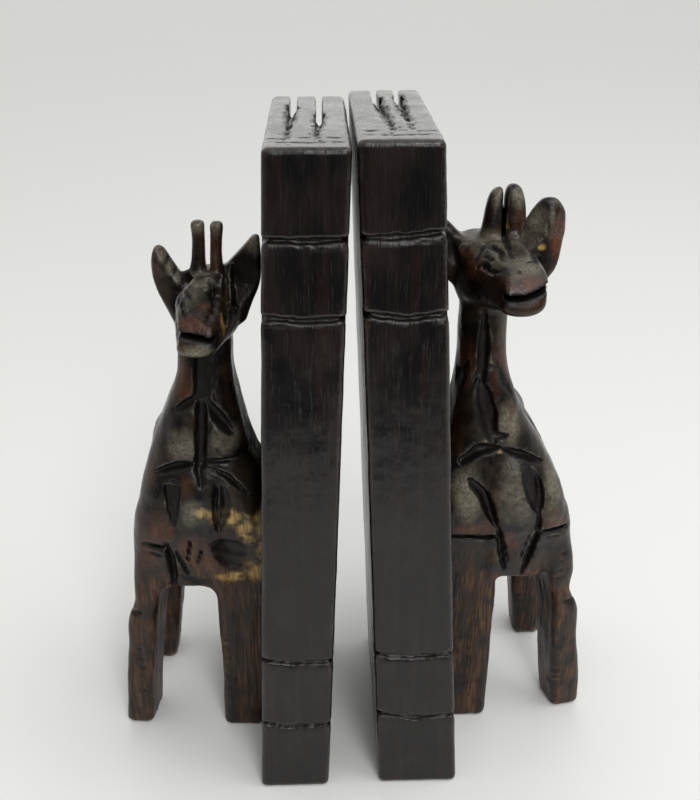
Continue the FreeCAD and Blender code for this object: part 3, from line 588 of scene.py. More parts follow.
# Limbs: name, direction, degrees turned, how softly it joins the rest, and its sections
# (station, inner, outer, low, high, corner).  Stations run upward or from front to back.
LIMBS = {
    LEFT: [
        ("neck", UPRIGHT, 0, 2, [
            (69, -12, 36.2, -10, 14, 8), (78, -9, 36.8, -13.6, 15, 8), (91, -3.8, 34.8, -14, 17, 9),
            (105, 1.3, 30.7, -12, 17, 9), (118, 3.8, 25.4, -10.5, 13, 7), (129, 5.3, 21.4, -9, 10, 6),
            (140, 5, 21, -8, 9, 6), (152, 5, 20, -8, 7.5, 6),
        ]),
        ("barrel", LEVEL, 0, 5, [
            (-4, -12, 33, 60, 90, 8), (14, -12, 35, 56, 90, 9), (30, -12, 36, 56, 84, 9),
            (42, -12, 35, 58, 82, 9), (49, -4, 28, 64, 78, 6),
        ]),
        ("back", LEVEL, 0, 4, [
            (-2, 8, 28, 80, 100, 9), (14, 7, 32, 72, 103, 12), (30, 6, 35.6, 70, 104, 13),
            (42, 6, 34, 66, 96, 11), (50, 10, 27, 70, 86, 6),
        ]),
        ("head", LEVEL, 0, 3, [
            (8, 3, 15, 146, 157, 5), (0, 2, 19.5, 141, 160, 6), (-10, 2.5, 19.5, 141, 159.8, 6),
            (-20, 4.3, 18.6, 142.8, 158.4, 5), (-26, 5.5, 18.3, 143.8, 157.4, 4.4),
            (-31, 6.4, 17.4, 144.6, 155.6, 3.8),
        ]),
        ("outer_horn", UPRIGHT, 0, 0.8, [
            (152, 10.9, 17.2, -5.8, 0.8, 2), (158, 11, 16.2, -5.4, 0.4, 1.8), (163, 11.1, 15, -5, -0.4, 1.6),
            (168, 10.8, 14.5, -5, -0.8, 1.5), (173.6, 10.6, 14.8, -4.9, -0.7, 1.4),
        ]),
        ("inner_horn", UPRIGHT, 0, 0.8, [
            (152, 5.4, 10.2, -5.8, 0.8, 2), (158, 6.3, 9.9, -5.4, 0.4, 1.7), (163, 6.5, 9.8, -5, -0.4, 1.5),
            (168, 6, 9.6, -5, -0.8, 1.5), (173.3, 5.5, 9.6, -4.8, -0.8, 1.4),
        ]),
        ("outer_ear", UPRIGHT, 0, 2, [
            (144, 13, 21.4, -3.6, 3.8, 2.5), (149, 15, 23.8, -3.6, 3.8, 2.5), (154, 16.6, 26, -3.2, 3.6, 2.3),
            (158, 18.8, 26.7, -2.9, 3.2, 2.1), (162, 21, 26.6, -2.5, 2.4, 1.7),
            (166, 23.2, 25.4, -1.8, 1.4, 0.8),
        ]),
        ("inner_ear", UPRIGHT, 0, 2, [
            (143, 0.8, 8, -3.6, 4, 2.5), (149, -1.2, 8, -3.6, 4, 2.5), (155, -3.5, 8, -3.2, 3.6, 2.3),
            (160, -4, 5.6, -2.9, 3.2, 2), (165, -4, 1, -2.5, 2.4, 1.5), (169, -3.8, -2.2, -1.8, 1.4, 0.6),
        ]),
        ("bib", UPRIGHT, 0, 3.5, [
            (56, 10, 31, -8, 12, 3), (66, 10, 30, -11.2, 13, 4), (80, 10, 28, -14, 13, 5),
        ]),
        ("front_outer_leg", UPRIGHT, 7, 5, [
            (0, 37, 46.4, -7, 8.5, 2.5), (16, 35.7, 44.9, -7.5, 9, 2.5), (30, 34, 43.2, -8, 9.5, 2.5),
            (44.5, 32.2, 41.2, -8.6, 9.5, 2.5), (49.5, 31.6, 39.3, -8.8, 9.5, 2.5),
            (58, 29.4, 38.6, -9.8, 10, 3), (70, 25.8, 37.2, -11.2, 11, 4), (84, 24, 34.4, -10, 10, 4),
        ]),
        ("front_inner_leg", UPRIGHT, 0, 5, [
            (0, 0.3, 13.5, -9, 6, 2.5), (30, -6, 13.3, -9, 8, 2.5), (58, -8, 13.4, -10, 9, 2.5),
            (68, -9, 13.2, -10.8, 9, 3.5), (80, -9, 13, -9, 9, 4),
        ]),
        ("hind_outer_leg", UPRIGHT, 0, 4, [
            (0, 34, 44, 27, 41, 2.5), (27, 30.5, 43, 27.5, 43, 3), (52, 28, 43.2, 27.5, 45, 3.5),
            (70, 24, 41.6, 26, 46, 5), (84, 20, 37, 24, 44.5, 6), (96, 15, 31, 22, 42, 6),
        ]),
        ("hind_inner_leg", UPRIGHT, 0, 4, [
            (0, 0.3, 12.5, 28, 42, 2.5), (27, -6, 13, 28, 43.5, 3), (60, -8, 14, 27.5, 45, 3.5),
            (76, -9, 14, 27.5, 44, 3.5),
        ]),
    ],
    RIGHT: [
        ("neck", UPRIGHT, 0, 2, [
            (70, -12, 35.4, -10, 15, 8), (78, -12, 35.2, -13.6, 16, 8), (90, -9, 32.2, -14, 18, 9),
            (103, -4, 26, -12, 19, 9), (116, -1.6, 18.6, -10.5, 15, 7), (130, -0.5, 13.6, -9, 11, 6),
            (142, -0.5, 12.7, -8, 10, 6), (158, 0, 14, -7, 8.5, 6),
        ]),
        ("barrel", LEVEL, 0, 5, [
            (-4, -12, 30, 60, 92, 8), (14, -12, 31, 56, 93, 9), (30, -12, 31, 56, 88, 9),
            (44, -12, 30, 58, 84, 9), (51, -4, 25, 64, 80, 6),
        ]),
        ("back", LEVEL, 0, 4, [
            (0, -2, 20, 84, 110, 10), (15, -1, 24, 76, 111, 12), (30, 0, 27, 72, 110, 13),
            (43, 2, 26, 68, 99, 11), (50.5, 6, 22, 72, 88, 6),
        ]),
        ("head", LEVEL, 0, 3, [
            (9.5, -1, 11, 153, 165, 5), (2, -3, 15, 148.5, 169.5, 6), (-8, -1.5, 17, 149.5, 169.2, 6),
            (-18, 2, 18.2, 152.4, 168.2, 5.5), (-25, 4.2, 18.4, 153.6, 167.4, 5.5),
            (-30, 5, 17.6, 154.4, 165.8, 5),
        ]),
        ("outer_horn", UPRIGHT, 0, 1.5, [
            (163, 9.2, 16.8, -4.4, 3.5, 2.5), (171, 9.3, 16.4, -4, 3, 2.4), (177, 9.2, 16, -3.4, 2.6, 2.3),
            (180, 9.6, 15.2, -2.9, 2.1, 2), (182.2, 10.8, 14.2, -2.2, 1.5, 1.2),
        ]),
        ("inner_horn", UPRIGHT, 0, 1.5, [
            (163, 3, 10.4, -4.2, 3, 2.5), (171, 4.4, 10.4, -3.8, 2.6, 2.3), (176, 5.2, 10.6, -3.2, 2.4, 2),
            (180, 6.6, 10.3, -2.4, 1.8, 1.4), (181.6, 7.8, 9.6, -1.8, 1, 0.8),
        ]),
        ("outer_ear", UPRIGHT, 0, 2, [
            (153, 13, 22, -3, 4, 2.5), (158, 14.4, 25.8, -3, 4.2, 2.5), (164, 15.2, 27.6, -2.9, 4, 2.4),
            (170, 16.4, 28.1, -2.6, 3.6, 2.2), (175, 18.2, 27.2, -2.2, 2.8, 1.9),
            (178.5, 21, 24.8, -1.4, 1.8, 1.2),
        ]),
        ("inner_ear", UPRIGHT, 0, 2, [
            (154, -4.5, 3, -2.6, 4, 2.5), (160, -7.2, 3, -2.4, 4, 2.3), (165, -7.9, 1, -2.2, 3.5, 2),
            (169, -8, -2.4, -1.8, 2.8, 1.6), (173, -7.9, -6.2, -1, 1.6, 0.7),
        ]),
        ("bib", UPRIGHT, 0, 3, [
            (57.5, 10, 29, -8, 12, 3), (66, 10, 29, -11.4, 13, 4), (80, 10, 27, -14.2, 13, 5),
        ]),
        ("front_outer_leg", UPRIGHT, 14, 3, [
            (0, 35.8, 46.3, -2.6, 9.6, 2.5), (13, 34.6, 44.9, -4, 9.8, 2.5), (30, 33, 42, -5.6, 10, 2.5),
            (44.5, 31.6, 40, -6.8, 10.5, 2.5), (50.5, 30.8, 37.4, -7.4, 10.5, 2.5),
            (60, 28.2, 36.9, -9.4, 11, 3), (72, 25, 34.9, -11, 11, 4), (84, 23, 31.8, -10, 11, 4),
        ]),
        ("front_inner_leg", UPRIGHT, 0, 2.5, [
            (0, 0.3, 13.6, -7, 7, 2.5), (30, -6, 14, -7.4, 8.5, 2.5), (58, -8, 14.2, -9, 9, 2.5),
            (72, -9, 13.6, -11, 9, 3.5), (84, -9, 13, -9, 9, 4),
        ]),
        ("hind_outer_leg", UPRIGHT, 0, 4, [
            (0, 31, 41, 37, 49, 2.5), (27, 28.3, 40.5, 36, 49, 3), (52, 27, 40.6, 34, 48.8, 3.5),
            (70, 23, 38.6, 30, 48, 5), (84, 18, 34, 27, 46, 6), (98, 12, 26, 25, 43, 6),
        ]),
        ("hind_inner_leg", UPRIGHT, 0, 4, [
            (0, 0.3, 12.5, 37, 49, 2.5), (27, -6, 13, 36, 49, 3), (60, -8, 14, 33, 48.5, 3.5),
            (76, -9, 14, 31, 47, 3.5),
        ]),
    ],
}

# Flat knife cuts on the head: a point on each (out, back, up), which way it faces, and how far back it goes.
HEAD_FACETS = {
    LEFT: [
        ((12, -14, 158), (-0.04, -0.12, 1), 12),
        ((9.4, -26, 153.4), (-0.50, -0.16, 1), -12),
        ((12, -28.2, 153.6), (0.02, -1, 0.76), -18),
        ((18.6, -16, 152), (1, -0.16, 0.10), -6),
        ((16.2, -14, 158), (0.85, 0.25, 0.50), -2),
        ((4.4, -18, 152), (-1, -0.30, 0.25), -8),
    ],
    RIGHT: [
        ((9.5, -12, 167.3), (-0.14, -0.13, 1), 12),
        ((12, -27.8, 162.9), (0.04, -1, 0.82), -18),
        ((5.2, -16, 165.4), (-0.75, -0.30, 1), -4),
        ((16.6, -16, 166.6), (0.80, 0.10, 1), -6),
        ((2, -17, 160), (-1, -0.40, 0.15), -6),
    ],
}
# The mouth: its middle (out, up), its rise per mm outward, how much its ends curl up, and its inner end.
MOUTHS = {LEFT: ((12, 150), 0.20, 0, 6.9), RIGHT: ((10.6, 159.5), 0.12, 0.032, 6.4)}
# How wide a mouth opens, and how far back it is cut.
MOUTH_OPENING, MOUTH_CORNER = 1.25, -20.0
# Ridges up the fronts of the ears: foot, tip, how far forward, and for the flats on either side how steeply
# they fall and how far they go.
EAR_RIDGES = {
    LEFT: [((18.5, 154), (25.4, 164.6), -2.7, (1, 0.30), (5.2, 12)),
           ((-2.8, 150), (-3.6, 168), -2.4, (0.50, 0.10), (6, 7.2))],
    RIGHT: [((19.8, 163), (24.4, 176.6), -2.5, (0.45, 0.50), (6.4, 12))],
}
# How far forward an ear is cleared, how fast its flats run out towards its foot, and how softly flats end.
EAR_FRONT, EAR_RUN_OUT, FLAT_BLEND = -6.5, 0.35, 0.4


def cut_facet(carving, point, facing, rear):
    """Planes off whatever stands proud of a plane, in front of a place."""
    facing = np.array(facing) / np.linalg.norm(facing)

    def distance(out, back, up):
        proud = (out - point[0]) * facing[0] + (back - point[1]) * facing[1] + (up - point[2]) * facing[2]
        return np.maximum(-proud, back - rear)

    low, high = [point[0] - 16, -34.0, point[2] - 13], [point[0] + 16, rear, point[2] + 13]
    carving.cut(low, high, distance, FLAT_BLEND)


def cut_ear(carving, foot, tip, front, slopes, reach):
    """Two flats falling back either side of a ridge up the front of an ear; they run out at its foot."""
    ahead_out, ahead_up = np.subtract(tip, foot) / np.hypot(*np.subtract(tip, foot))

    def distance(out, back, up):
        ahead = (out - foot[0]) * ahead_out + (up - foot[1]) * ahead_up
        aside = (up - foot[1]) * ahead_out - (out - foot[0]) * ahead_up
        slope = np.where(aside > 0, slopes[0], slopes[1])
        fall = slope * np.abs(aside) - EAR_RUN_OUT * np.clip(5 - ahead, 0, 9)
        waste = np.maximum((back - front - fall) / np.hypot(1, slope), EAR_FRONT - back)
        return np.maximum(waste, np.maximum(aside - reach[0], -aside - reach[1]))

    low, high = [foot[0] - 9, EAR_FRONT - 1, foot[1] - 5], [tip[0] + 9, 4.0, tip[1] + 6]
    carving.cut(low, high, distance, FLAT_BLEND)


def cut_mouth(carving, side):
    """A saw cut across the front of the muzzle."""
    (out_middle, up_middle), rise, curl, inner_end = MOUTHS[side]

    def distance(out, back, up):
        across = out - out_middle
        line = up_middle + rise * across + curl * across ** 2
        opening = MOUTH_OPENING / 2 * np.clip((MOUTH_CORNER - back) / 7, 0.25, 1)
        closed = np.maximum(back - MOUTH_CORNER, inner_end - out)
        return np.maximum(np.abs(up - line) - opening, closed)

    low, high = [out_middle - 11, -33, up_middle - 5], [out_middle + 11, MOUTH_CORNER, up_middle + 7]
    # scar=1.0 paints the slit near black: painted shade in the mouth.
    carving.cut(low, high, distance, scar=1.0)


def cut_flank(carving, side):
    """Planes the flank flat where it is glued to the book."""

    def distance(out, back, up):
        return out - outer_face(side, up) - GLUE_LINE + 0 * back

    carving.cut(carving.low, carving.high, distance)


def chatter(across, levels):
    """A ladder of small level nicks, as a gouge leaves when it skips."""
    start, stop = across
    return [([(start, up + 0.5), (stop, up - 0.5)], 1.1, 0.35, 0.2) for up in levels]


# Knife cuts made from the front: places (out, up), width, depth, share that is flat, and taper if not a leaf.
FRONT_CUTS = {
    LEFT: [
        # Throat and the collar above the chest.
        ([(12.6, 139), (13.4, 131), (14, 121)], 5.2, 1.1, 0.6, "line"),
        ([(10.2, 138), (10.8, 130), (9.6, 122)], 2.2, 0.6, 0.3),
        ([(22.4, 118.4), (15.6, 122.8), (13.4, 124.4)], 3.6, 1.5, 0.2),
        ([(14, 124), (10.7, 118.8), (5.6, 111.4)], 4.2, 1.6, 0.2),
        # The branch pattern on the chest.
        ([(14.1, 120.5), (15.3, 102.6)], 3.5, 1.7, 0.6, "line"),
        ([(16.4, 102.9), (22.3, 102.2), (28.7, 99.7)], 2.8, 1.6, 0.3),
        ([(14.4, 103.6), (7.6, 103.6), (-0.4, 103.9)], 2, 1.2, 0.2, "tail"),
        ([(13, 101.9), (7.9, 99.1), (1.6, 92.8)], 2, 1.3, 0.2),
        ([(16, 103), (15.2, 96)], 3, 1.3, 0.3, "tail"),
        ([(11.6, 108.6), (7.6, 105)], 0.9, 0.5),
        ([(20, 97), (26, 98.5)], 0.8, 0.4),
        # Leaves.
        ([(23.9, 96.4), (23.9, 90), (24.2, 83.4)], 5.4, 1.3, 0.75, "tail"),
        ([(9, 96.8), (8.4, 90), (10.8, 80.6)], 4.4, 0.8, 0.3),
        ([(10.8, 98), (11.6, 89), (11.2, 80.6)], 1.9, 1.7, 0.2),
        # Where the legs leave the chest.
        ([(34.4, 75.4), (26.3, 74.3)], 2.2, 1.5, 0.2),
        ([(33.5, 72.6), (27.5, 71)], 1.2, 0.7),
        ([(27.2, 78.4), (26.2, 70.2), (26, 63.4), (27, 55)], 2.6, 1.8, 0.2),
        ([(24.6, 74), (22.6, 66), (21, 60)], 1.4, 1, 0.1),
        ([(19.6, 79), (20, 75), (21.4, 68)], 0.9, 1.2),
        ([(16, 76), (17, 71), (18.6, 67)], 0.8, 0.9),
        # Torn wood beside the tongue left between the legs.
        ([(14.4, 75.4), (9, 74.4), (3, 70.6)], 7, 0.55, 0.5),
        ([(12.6, 70.6), (8.6, 67.2), (4, 66.4)], 4.4, 0.6, 0.4),
        ([(25.6, 62.6), (19, 58.6), (14, 59.4)], 3, 0.5, 0.4),
        ([(18.4, 87.4), (16.4, 85.4)], 0.7, 0.4),
        # Knee.
        ([(43.4, 47.4), (40, 46.4), (36.6, 47.6)], 1.4, 0.7),
        # Chatter of the gouge down the legs.
        *chatter((12.6, 9.4), [36, 32.5, 28.5, 25, 21, 16.5]),
        *chatter((41, 37.8), [32, 28, 24.5, 21, 15]),
    ],
    RIGHT: [
        # Throat.
        ([(5.2, 148), (5.6, 139), (5.4, 131), (5.4, 124)], 3.4, 1.1, 0.5),
        ([(8.6, 131.6), (5.2, 130.6), (2.6, 126.2)], 2.2, 1.1),
        ([(8.4, 135), (11.8, 125.6), (15, 121.2)], 1.8, 0.8),
        ([(1.6, 133), (-0.6, 124.4), (-2, 121)], 2, 1),
        # The long leaf down the middle of the chest, steeper on one side.
        ([(5.2, 127), (6.6, 119), (9.6, 107.6)], 6.4, 1.5, 0.3),
        ([(6.4, 126), (9.2, 117), (9.8, 107.4)], 2.4, 1.3, 0.2),
        # Branches and their knot.
        ([(9.6, 109.8), (13.8, 110)], 3.2, 1.2, 0.5, "tail"),
        ([(11.6, 106.4), (5.2, 105.6), (-0.4, 100.8)], 3.6, 1.7, 0.5),
        ([(11.4, 106.2), (18.3, 103.7), (25.2, 99.9)], 2.6, 1.5, 0.4),
        ([(17.4, 106.2), (18.4, 103.4)], 0.9, 0.7),
        # Leaves to either side.
        ([(2.2, 97.2), (7.2, 91.6), (11.4, 80.8)], 3.6, 2, 0.5),
        ([(18.8, 100.8), (21.8, 94.6), (24, 85.8)], 5.8, 1.4, 0.7),
        ([(11.8, 81.6), (13.6, 72.4), (15.6, 62)], 2.4, 1.7, 0.2),
        ([(13.4, 78), (15.4, 70), (16.6, 64)], 1, 0.8),
        ([(24.4, 86), (24.4, 77.9), (22.8, 69.8), (21.4, 59)], 2.4, 1.8, 0.2),
        ([(22.4, 80), (20.8, 72), (20, 64)], 1, 0.7),
        # Where the legs leave the chest.
        ([(-2, 76.6), (6.2, 75.9), (12.4, 76)], 2.4, 1.7, 0.3, "line"),
        ([(24.4, 77.8), (28.9, 78.4), (34.6, 78.4)], 2.2, 1.6, 0.3),
        ([(27, 75.8), (33.5, 76.2)], 1, 0.6),
        ([(16.4, 91), (20.4, 91.6)], 0.7, 0.5),
        ([(13.4, 93.2), (15, 92.4)], 0.8, 0.4),
        # Between the horns.
        ([(10, 184), (9.8, 176), (10, 167.5)], 1.5, 1.3, 0, "line"),
        # Knee.
        ([(42, 48.2), (39, 46.6), (36, 47.4)], 1.4, 0.7),
        # Chatter of the gouge down the legs.
        *chatter((35.6, 32.2), [68, 65, 61.5, 58]),
        *chatter((38.6, 35.6), [31, 28, 17, 14, 11.5]),
        *chatter((3.4, 8), [30, 26, 15, 10]),
    ],
}
# The same from above, on the head: places are (out, back).
FACE_CUTS = {
    LEFT: [
        ([(15.9, -19.6), (15.4, -24), (14.3, -28.6)], 1.2, 1, 0.1),
        ([(16.8, -17.6), (17, -24)], 1, 0.8),
        ([(14.9, -15.4), (13.7, -19.4)], 1.9, 0.8, 0.2),
        ([(9.4, -8.4), (8.5, -14), (8, -19.4)], 1.3, 1.2, 0.1),
        ([(7.8, -18.4), (8.8, -25.4)], 1.1, 0.9),
        ([(5.8, -3), (5.1, -10), (5.2, -22)], 1.7, 1.8, 0.1),
        ([(2.6, -4), (3.4, -14)], 1.4, 1.2),
        ([(16.2, -7.4), (11, -6.9), (6.4, -7.6)], 1, 0.7, 0.1),
        ([(12.2, -9.6), (11.4, -13.2)], 0.9, 0.6),
    ],
    RIGHT: [
        ([(0.6, -11.6), (3, -8.4), (6, -8.4), (7.8, -12.8), (7.6, -19.4)], 1.9, 1.5, 0.1),
        ([(0.8, -13.8), (3.2, -14.8), (3.9, -19.4)], 1.3, 1.1, 0.1),
        ([(3.9, -19), (5.4, -21.4), (7.4, -22.4)], 1.2, 1.1, 0.1),
        ([(3.4, -11.6), (5.6, -16.8)], 1, 0.8),
        ([(1.8, -17.4), (2.6, -21.8)], 1, 0.8),
        ([(14.6, -9), (15.8, -14.6), (15.5, -23)], 1.4, 1, 0.1),
        ([(9.5, -25.2), (11, -25.6)], 1.1, 0.9),
        ([(13.5, -21.4), (14.6, -21.1)], 1.2, 1),
        ([(3.4, -6), (9.4, -5.5), (15.6, -6)], 1, 0.6),
    ],
}
# Gouged hollows in the ears.
EAR_SCOOPS = {
    LEFT: [hollow((18, 150.4), (1.5, 3.2), 0.8, turn=-30, power=3)],
    RIGHT: [hollow((19.2, 160.6), (1.6, 2.8), 1, turn=-30), hollow((-3.6, 163.4), (1.7, 5.4), 0.8, turn=24)],
}
# The lower lip and the round of the chest stand a little proud; one side of the left chest is torn hollow.
FACE_SWELLS = {
    LEFT: [hollow((12, 146.8), (5.6, 2.4), -1), hollow((17.5, 90), (9, 12), -1.6),
           hollow((20, 111), (5, 7), -0.7), hollow((9, 110), (4.5, 6), -0.7),
           hollow((7.6, 72), (6, 5), 0.9, power=3)],
    RIGHT: [hollow((11.4, 156.8), (6.4, 2.6), -1), hollow((16.4, 90), (8, 14), -2.4),
            hollow((28.5, 90), (5.5, 11), -0.9), hollow((4, 88), (6.5, 9), -0.9)],
}


def outside_strokes(side):
    """Leaves cut along the outer flank and up the neck; places are (back, up)."""
    lift = 0 if side == LEFT else 2
    leaves = [
        ([(1, 114), (4, 104), (9, 94)], 3, 0.8),
        ([(9, 92), (16, 97), (24, 98)], 3, 0.8),
        ([(9, 92), (17, 88), (25, 88)], 3, 1.3),
        ([(9, 90), (14, 81), (16, 73)], 3, 1.3),
        ([(7, 90), (1, 84), (-2, 76)], 3, 1.3),
        ([(28, 96), (34, 89), (37, 79)], 3.2, 1.3),
        ([(38, 76), (33, 70), (31, 62)], 2.8, 1.2),
        ([(0, 137), (1, 129), (0, 121)], 2.4, 1),
        ([(-4, 72), (2, 70), (8, 72)], 2, 1.2),
    ]
    return [stroke([(back, up + lift) for back, up in points], width, depth, 0.4, seed=60 + number)
            for number, (points, width, depth) in enumerate(leaves)]


def rear_strokes(side):
    """The tail, left standing between two cuts, and leaves on the rump and the back of the neck; places are
    (out, up)."""
    middle, lift = (13.0, 0.0) if side == LEFT else (10.5, 1.0)
    strokes = []
    for sign in (-1, 1):
        root, tail = middle + sign * 2.6 * 0.6, middle + sign * 2.6
        hip, rump = middle + sign * 9.5, middle + sign * 12.5
        strokes.append(stroke([(root, 100 + lift), (tail, 88), (tail, 66)], 2.2, 1.6, 0.2, seed=70))
        strokes.append(stroke([(hip, 96), (rump, 86), (rump, 74)], 3.2, 1.3, 0.5, seed=72))
    for up in (118, 128, 138):
        crest, dip = up + 3 + lift, up - 2 + lift
        strokes.append(stroke([(middle - 3.5, crest), (middle, dip), (middle + 3.5, crest)], 1.6, 0.8, 0.1,
                              wander=0.2, seed=up))
    return strokes


# How much deeper the front cuts go than listed, and how far the wood beside them is rubbed down per mm.
CUT_DEPTH, CUT_SHOULDER = 1.35, 0.12
# How high up the legs' wood is left rough, and where their brown stain starts and is full.
ROUGH_TOP, STAIN_TOP, STAIN_FULL = 56, 74, 60


def carve_giraffe(side):
    limbs = LIMBS[side]
    top = max(sections[-1][0] for _name, direction, *_rest, sections in limbs if direction == UPRIGHT)
    # The grid is finer towards the front, on the head and neck, and on the chest.
    carving = Carving(
        spaced(-13, 50, 0.62),
        spaced(-34, 53, 0.85, [(-34, 8)], 0.6),
        spaced(-1.4, top + 2, 0.78, [(top - 44, top + 2), (54, 106)], 0.6))
    for name, *limb in limbs:
        add_limb(carving, *limb)
        if name == "head":
            for facet in HEAD_FACETS[side]:
                cut_facet(carving, *facet)
    carving.roughen(0.22, 9.0, 30 + len(side))
    carving.roughen(0.10, 3.0, 31 + len(side))
    carving.roughen(0.16, (1.3, 1.3, 10.0), 32 + len(side), [60, 60, ROUGH_TOP])
    front = [stroke(points, width, CUT_DEPTH * depth, *shape, wander=0.2, seed=number,
                    shoulder=CUT_SHOULDER * depth)
             for number, (points, width, depth, *shape) in enumerate(FRONT_CUTS[side])]
    face = [stroke(*cut, wander=0.15, seed=number) for number, cut in enumerate(FACE_CUTS[side])]
    carving.carve(FROM_FRONT, FACE_SWELLS[side] + EAR_SCOOPS[side], 10, reach=4.0)
    carving.carve(FROM_FRONT, front, 10)
    carving.carve(FROM_ABOVE, face, 150)
    carving.carve(FROM_OUTSIDE, outside_strokes(side), 0)
    carving.carve(FROM_REAR, rear_strokes(side), 0)
    for ridge in EAR_RIDGES[side]:
        cut_ear(carving, *ridge)
    cut_mouth(carving, side)
    cut_flank(carving, side)
    return carving


def blobs(points, places, softness):
    """A mark that is 1 inside rounded patches (out, up, half width, half height) and fades at their rims."""
    best = np.zeros(len(points))
    for out, up, wide, high in places:
        gone = np.hypot((points[:, 0] - out) / wide, (points[:, 2] - up) / high)
        best = np.maximum(best, np.clip((1 - gone) / softness, 0, 1))
    return best


# Rounded patches of colour, as blobs() takes them: bare yellow sapwood, wood whose stain is thin and warm,
# and painted highlights, grey patches where light catches the polish on horns, ears, face and chest.
SAPWOOD = {
    LEFT: [(9, 85.5, 8, 4.5), (2, 81, 5.5, 7), (-3, 84, 4.5, 6), (8.5, 62, 6, 3),
           (1, 64, 4, 6), (5.2, 153, 1.1, 7.5), (-3, 72, 4, 8), (16, 88, 3.4, 2.2)],
    RIGHT: [(11.4, 105.4, 1.3, 1.1), (10.4, 172, 0.9, 3), (21, 165, 1.6, 1.2)],
}
WARM = {
    LEFT: [(12, 153.4, 6, 2.6), (25.4, 160.2, 2.4, 4.4), (19.5, 127, 4.5, 10), (28, 80, 5, 5),
           (19, 74, 6, 9), (15, 66, 6, 7), (34, 74, 5, 12)],
    RIGHT: [(11.6, 162.4, 7, 3.4), (25.5, 168, 3, 9), (1, 132, 3, 10), (10, 130, 4, 10),
            (14, 173, 2.4, 6), (30, 80.5, 6, 3), (4, 80, 7, 4), (0.5, 163, 4, 4),
            (16, 74, 4, 8)],
}
PAINTED_HIGHLIGHTS = {
    LEFT: [(12.6, 173, 3.4, 5), (8, 173, 3.4, 5), (25.2, 166.2, 2.6, 3), (23.4, 163.2, 1.6, 2.6),
           (21.4, 159.8, 1.4, 2.8), (19.4, 157, 1.2, 2), (-2.4, 167, 3, 5), (12, 157.8, 4.6, 2.4),
           (12, 146.6, 6, 2.2), (17.4, 88, 5, 6), (20, 109, 6, 7), (7.6, 110, 5, 6)],
    RIGHT: [(13.6, 179, 2.4, 4), (7.6, 179, 2, 4), (23.4, 173.6, 0.9, 3.4), (21.9, 169.6, 0.7, 3),
            (19.2, 172, 3.6, 7), (11.5, 166.4, 6.5, 1.9), (8, 167.4, 11, 4.2), (3, 166.4, 4, 2.6),
            (15.8, 92, 8, 12), (14, 114, 4.4, 9), (28, 93, 4, 13), (2.6, 92, 6, 11)],
}


def giraffe_marks(side, points, normal):
    """Where the giraffe's wood is bare or warm, where highlights are painted, and how far down the legs each
    point is.
    """
    front = np.clip(0.5 - normal[:, 1] * 1.5, 0, 1)
    ragged = noise(points, 2.2, 41) * 0.5 + noise(points, 0.9, 42) * 0.4
    bare = blobs(points, SAPWOOD[side], 0.7)
    drift = noise(points, 9.0, 43) * 0.5 + 0.2
    worn = np.clip(noise(points, (5.0, 5.0, 14.0), 44) * 1.4 - 0.35, 0, 1) * 0.7
    highlight_mottle = noise(points, 1.6, 45) * 0.25 + noise(points, (4.0, 4.0, 8.0), 46) * 0.45
    # The "rubbed" mark is a painted highlight: grey where light catches the polish.
    highlight_patches = blobs(points, PAINTED_HIGHLIGHTS[side], 0.9)
    return {
        "sapwood": np.clip(bare * 2.0 + ragged - 0.45, 0, 1) * (bare > 0) * front,
        "warm": np.clip(blobs(points, WARM[side], 0.8) * front * (0.9 + drift) + worn, 0, 1),
        "legs": np.clip((STAIN_TOP - points[:, 2]) / (STAIN_TOP - STAIN_FULL), 0, 1),
        "rubbed": np.clip(highlight_patches * (1.0 + highlight_mottle) + highlight_mottle * 0.3 - 0.05, 0, 0.9) * (highlight_patches > 0) * front,
    }


def build_giraffe(side, material):
    def marks(points, normal):
        return giraffe_marks(side, points, normal)

    middle = middle_back(side)
    piece = make_piece(f"{side}_giraffe_carving", side, carve_giraffe(side), marks, material, middle)
    settle(piece, f"{side}_giraffe", f"{side}_bookend")


# ---- Materials ----

# A Mix node's colour sockets, by number: its hidden sockets have the same names.
MIX_FACTOR, MIX_FIRST, MIX_SECOND, MIX_RESULT = 0, 6, 7, 2


class Wiring:
    """A node tree being wired up."""

    def __init__(self, tree):
        self.tree = tree

    def node(self, kind, inputs, output=0, **settings):
        """An output of a new node whose inputs are set to values or linked to other nodes' outputs."""
        made = self.tree.nodes.new(f"ShaderNode{kind}")
        for name, value in settings.items():
            setattr(made, name, value)
        for name, value in inputs.items():
            if isinstance(value, bpy.types.NodeSocket):
                self.tree.links.new(value, made.inputs[name])
            else:
                made.inputs[name].default_value = value
        return made.outputs[output]

    def ramp(self, value, low, high, to_low=0.0, to_high=1.0):
        """The value stretched so that low becomes to_low and high to_high, and no further."""
        return self.node("MapRange", {"Value": value, "From Min": low, "From Max": high,
                                      "To Min": to_low, "To Max": to_high}, "Result")

    def sum(self, first, second, operation="ADD"):
        return self.node("Math", {0: first, 1: second}, operation=operation)

    def times(self, first, second):
        return self.sum(first, second, "MULTIPLY")


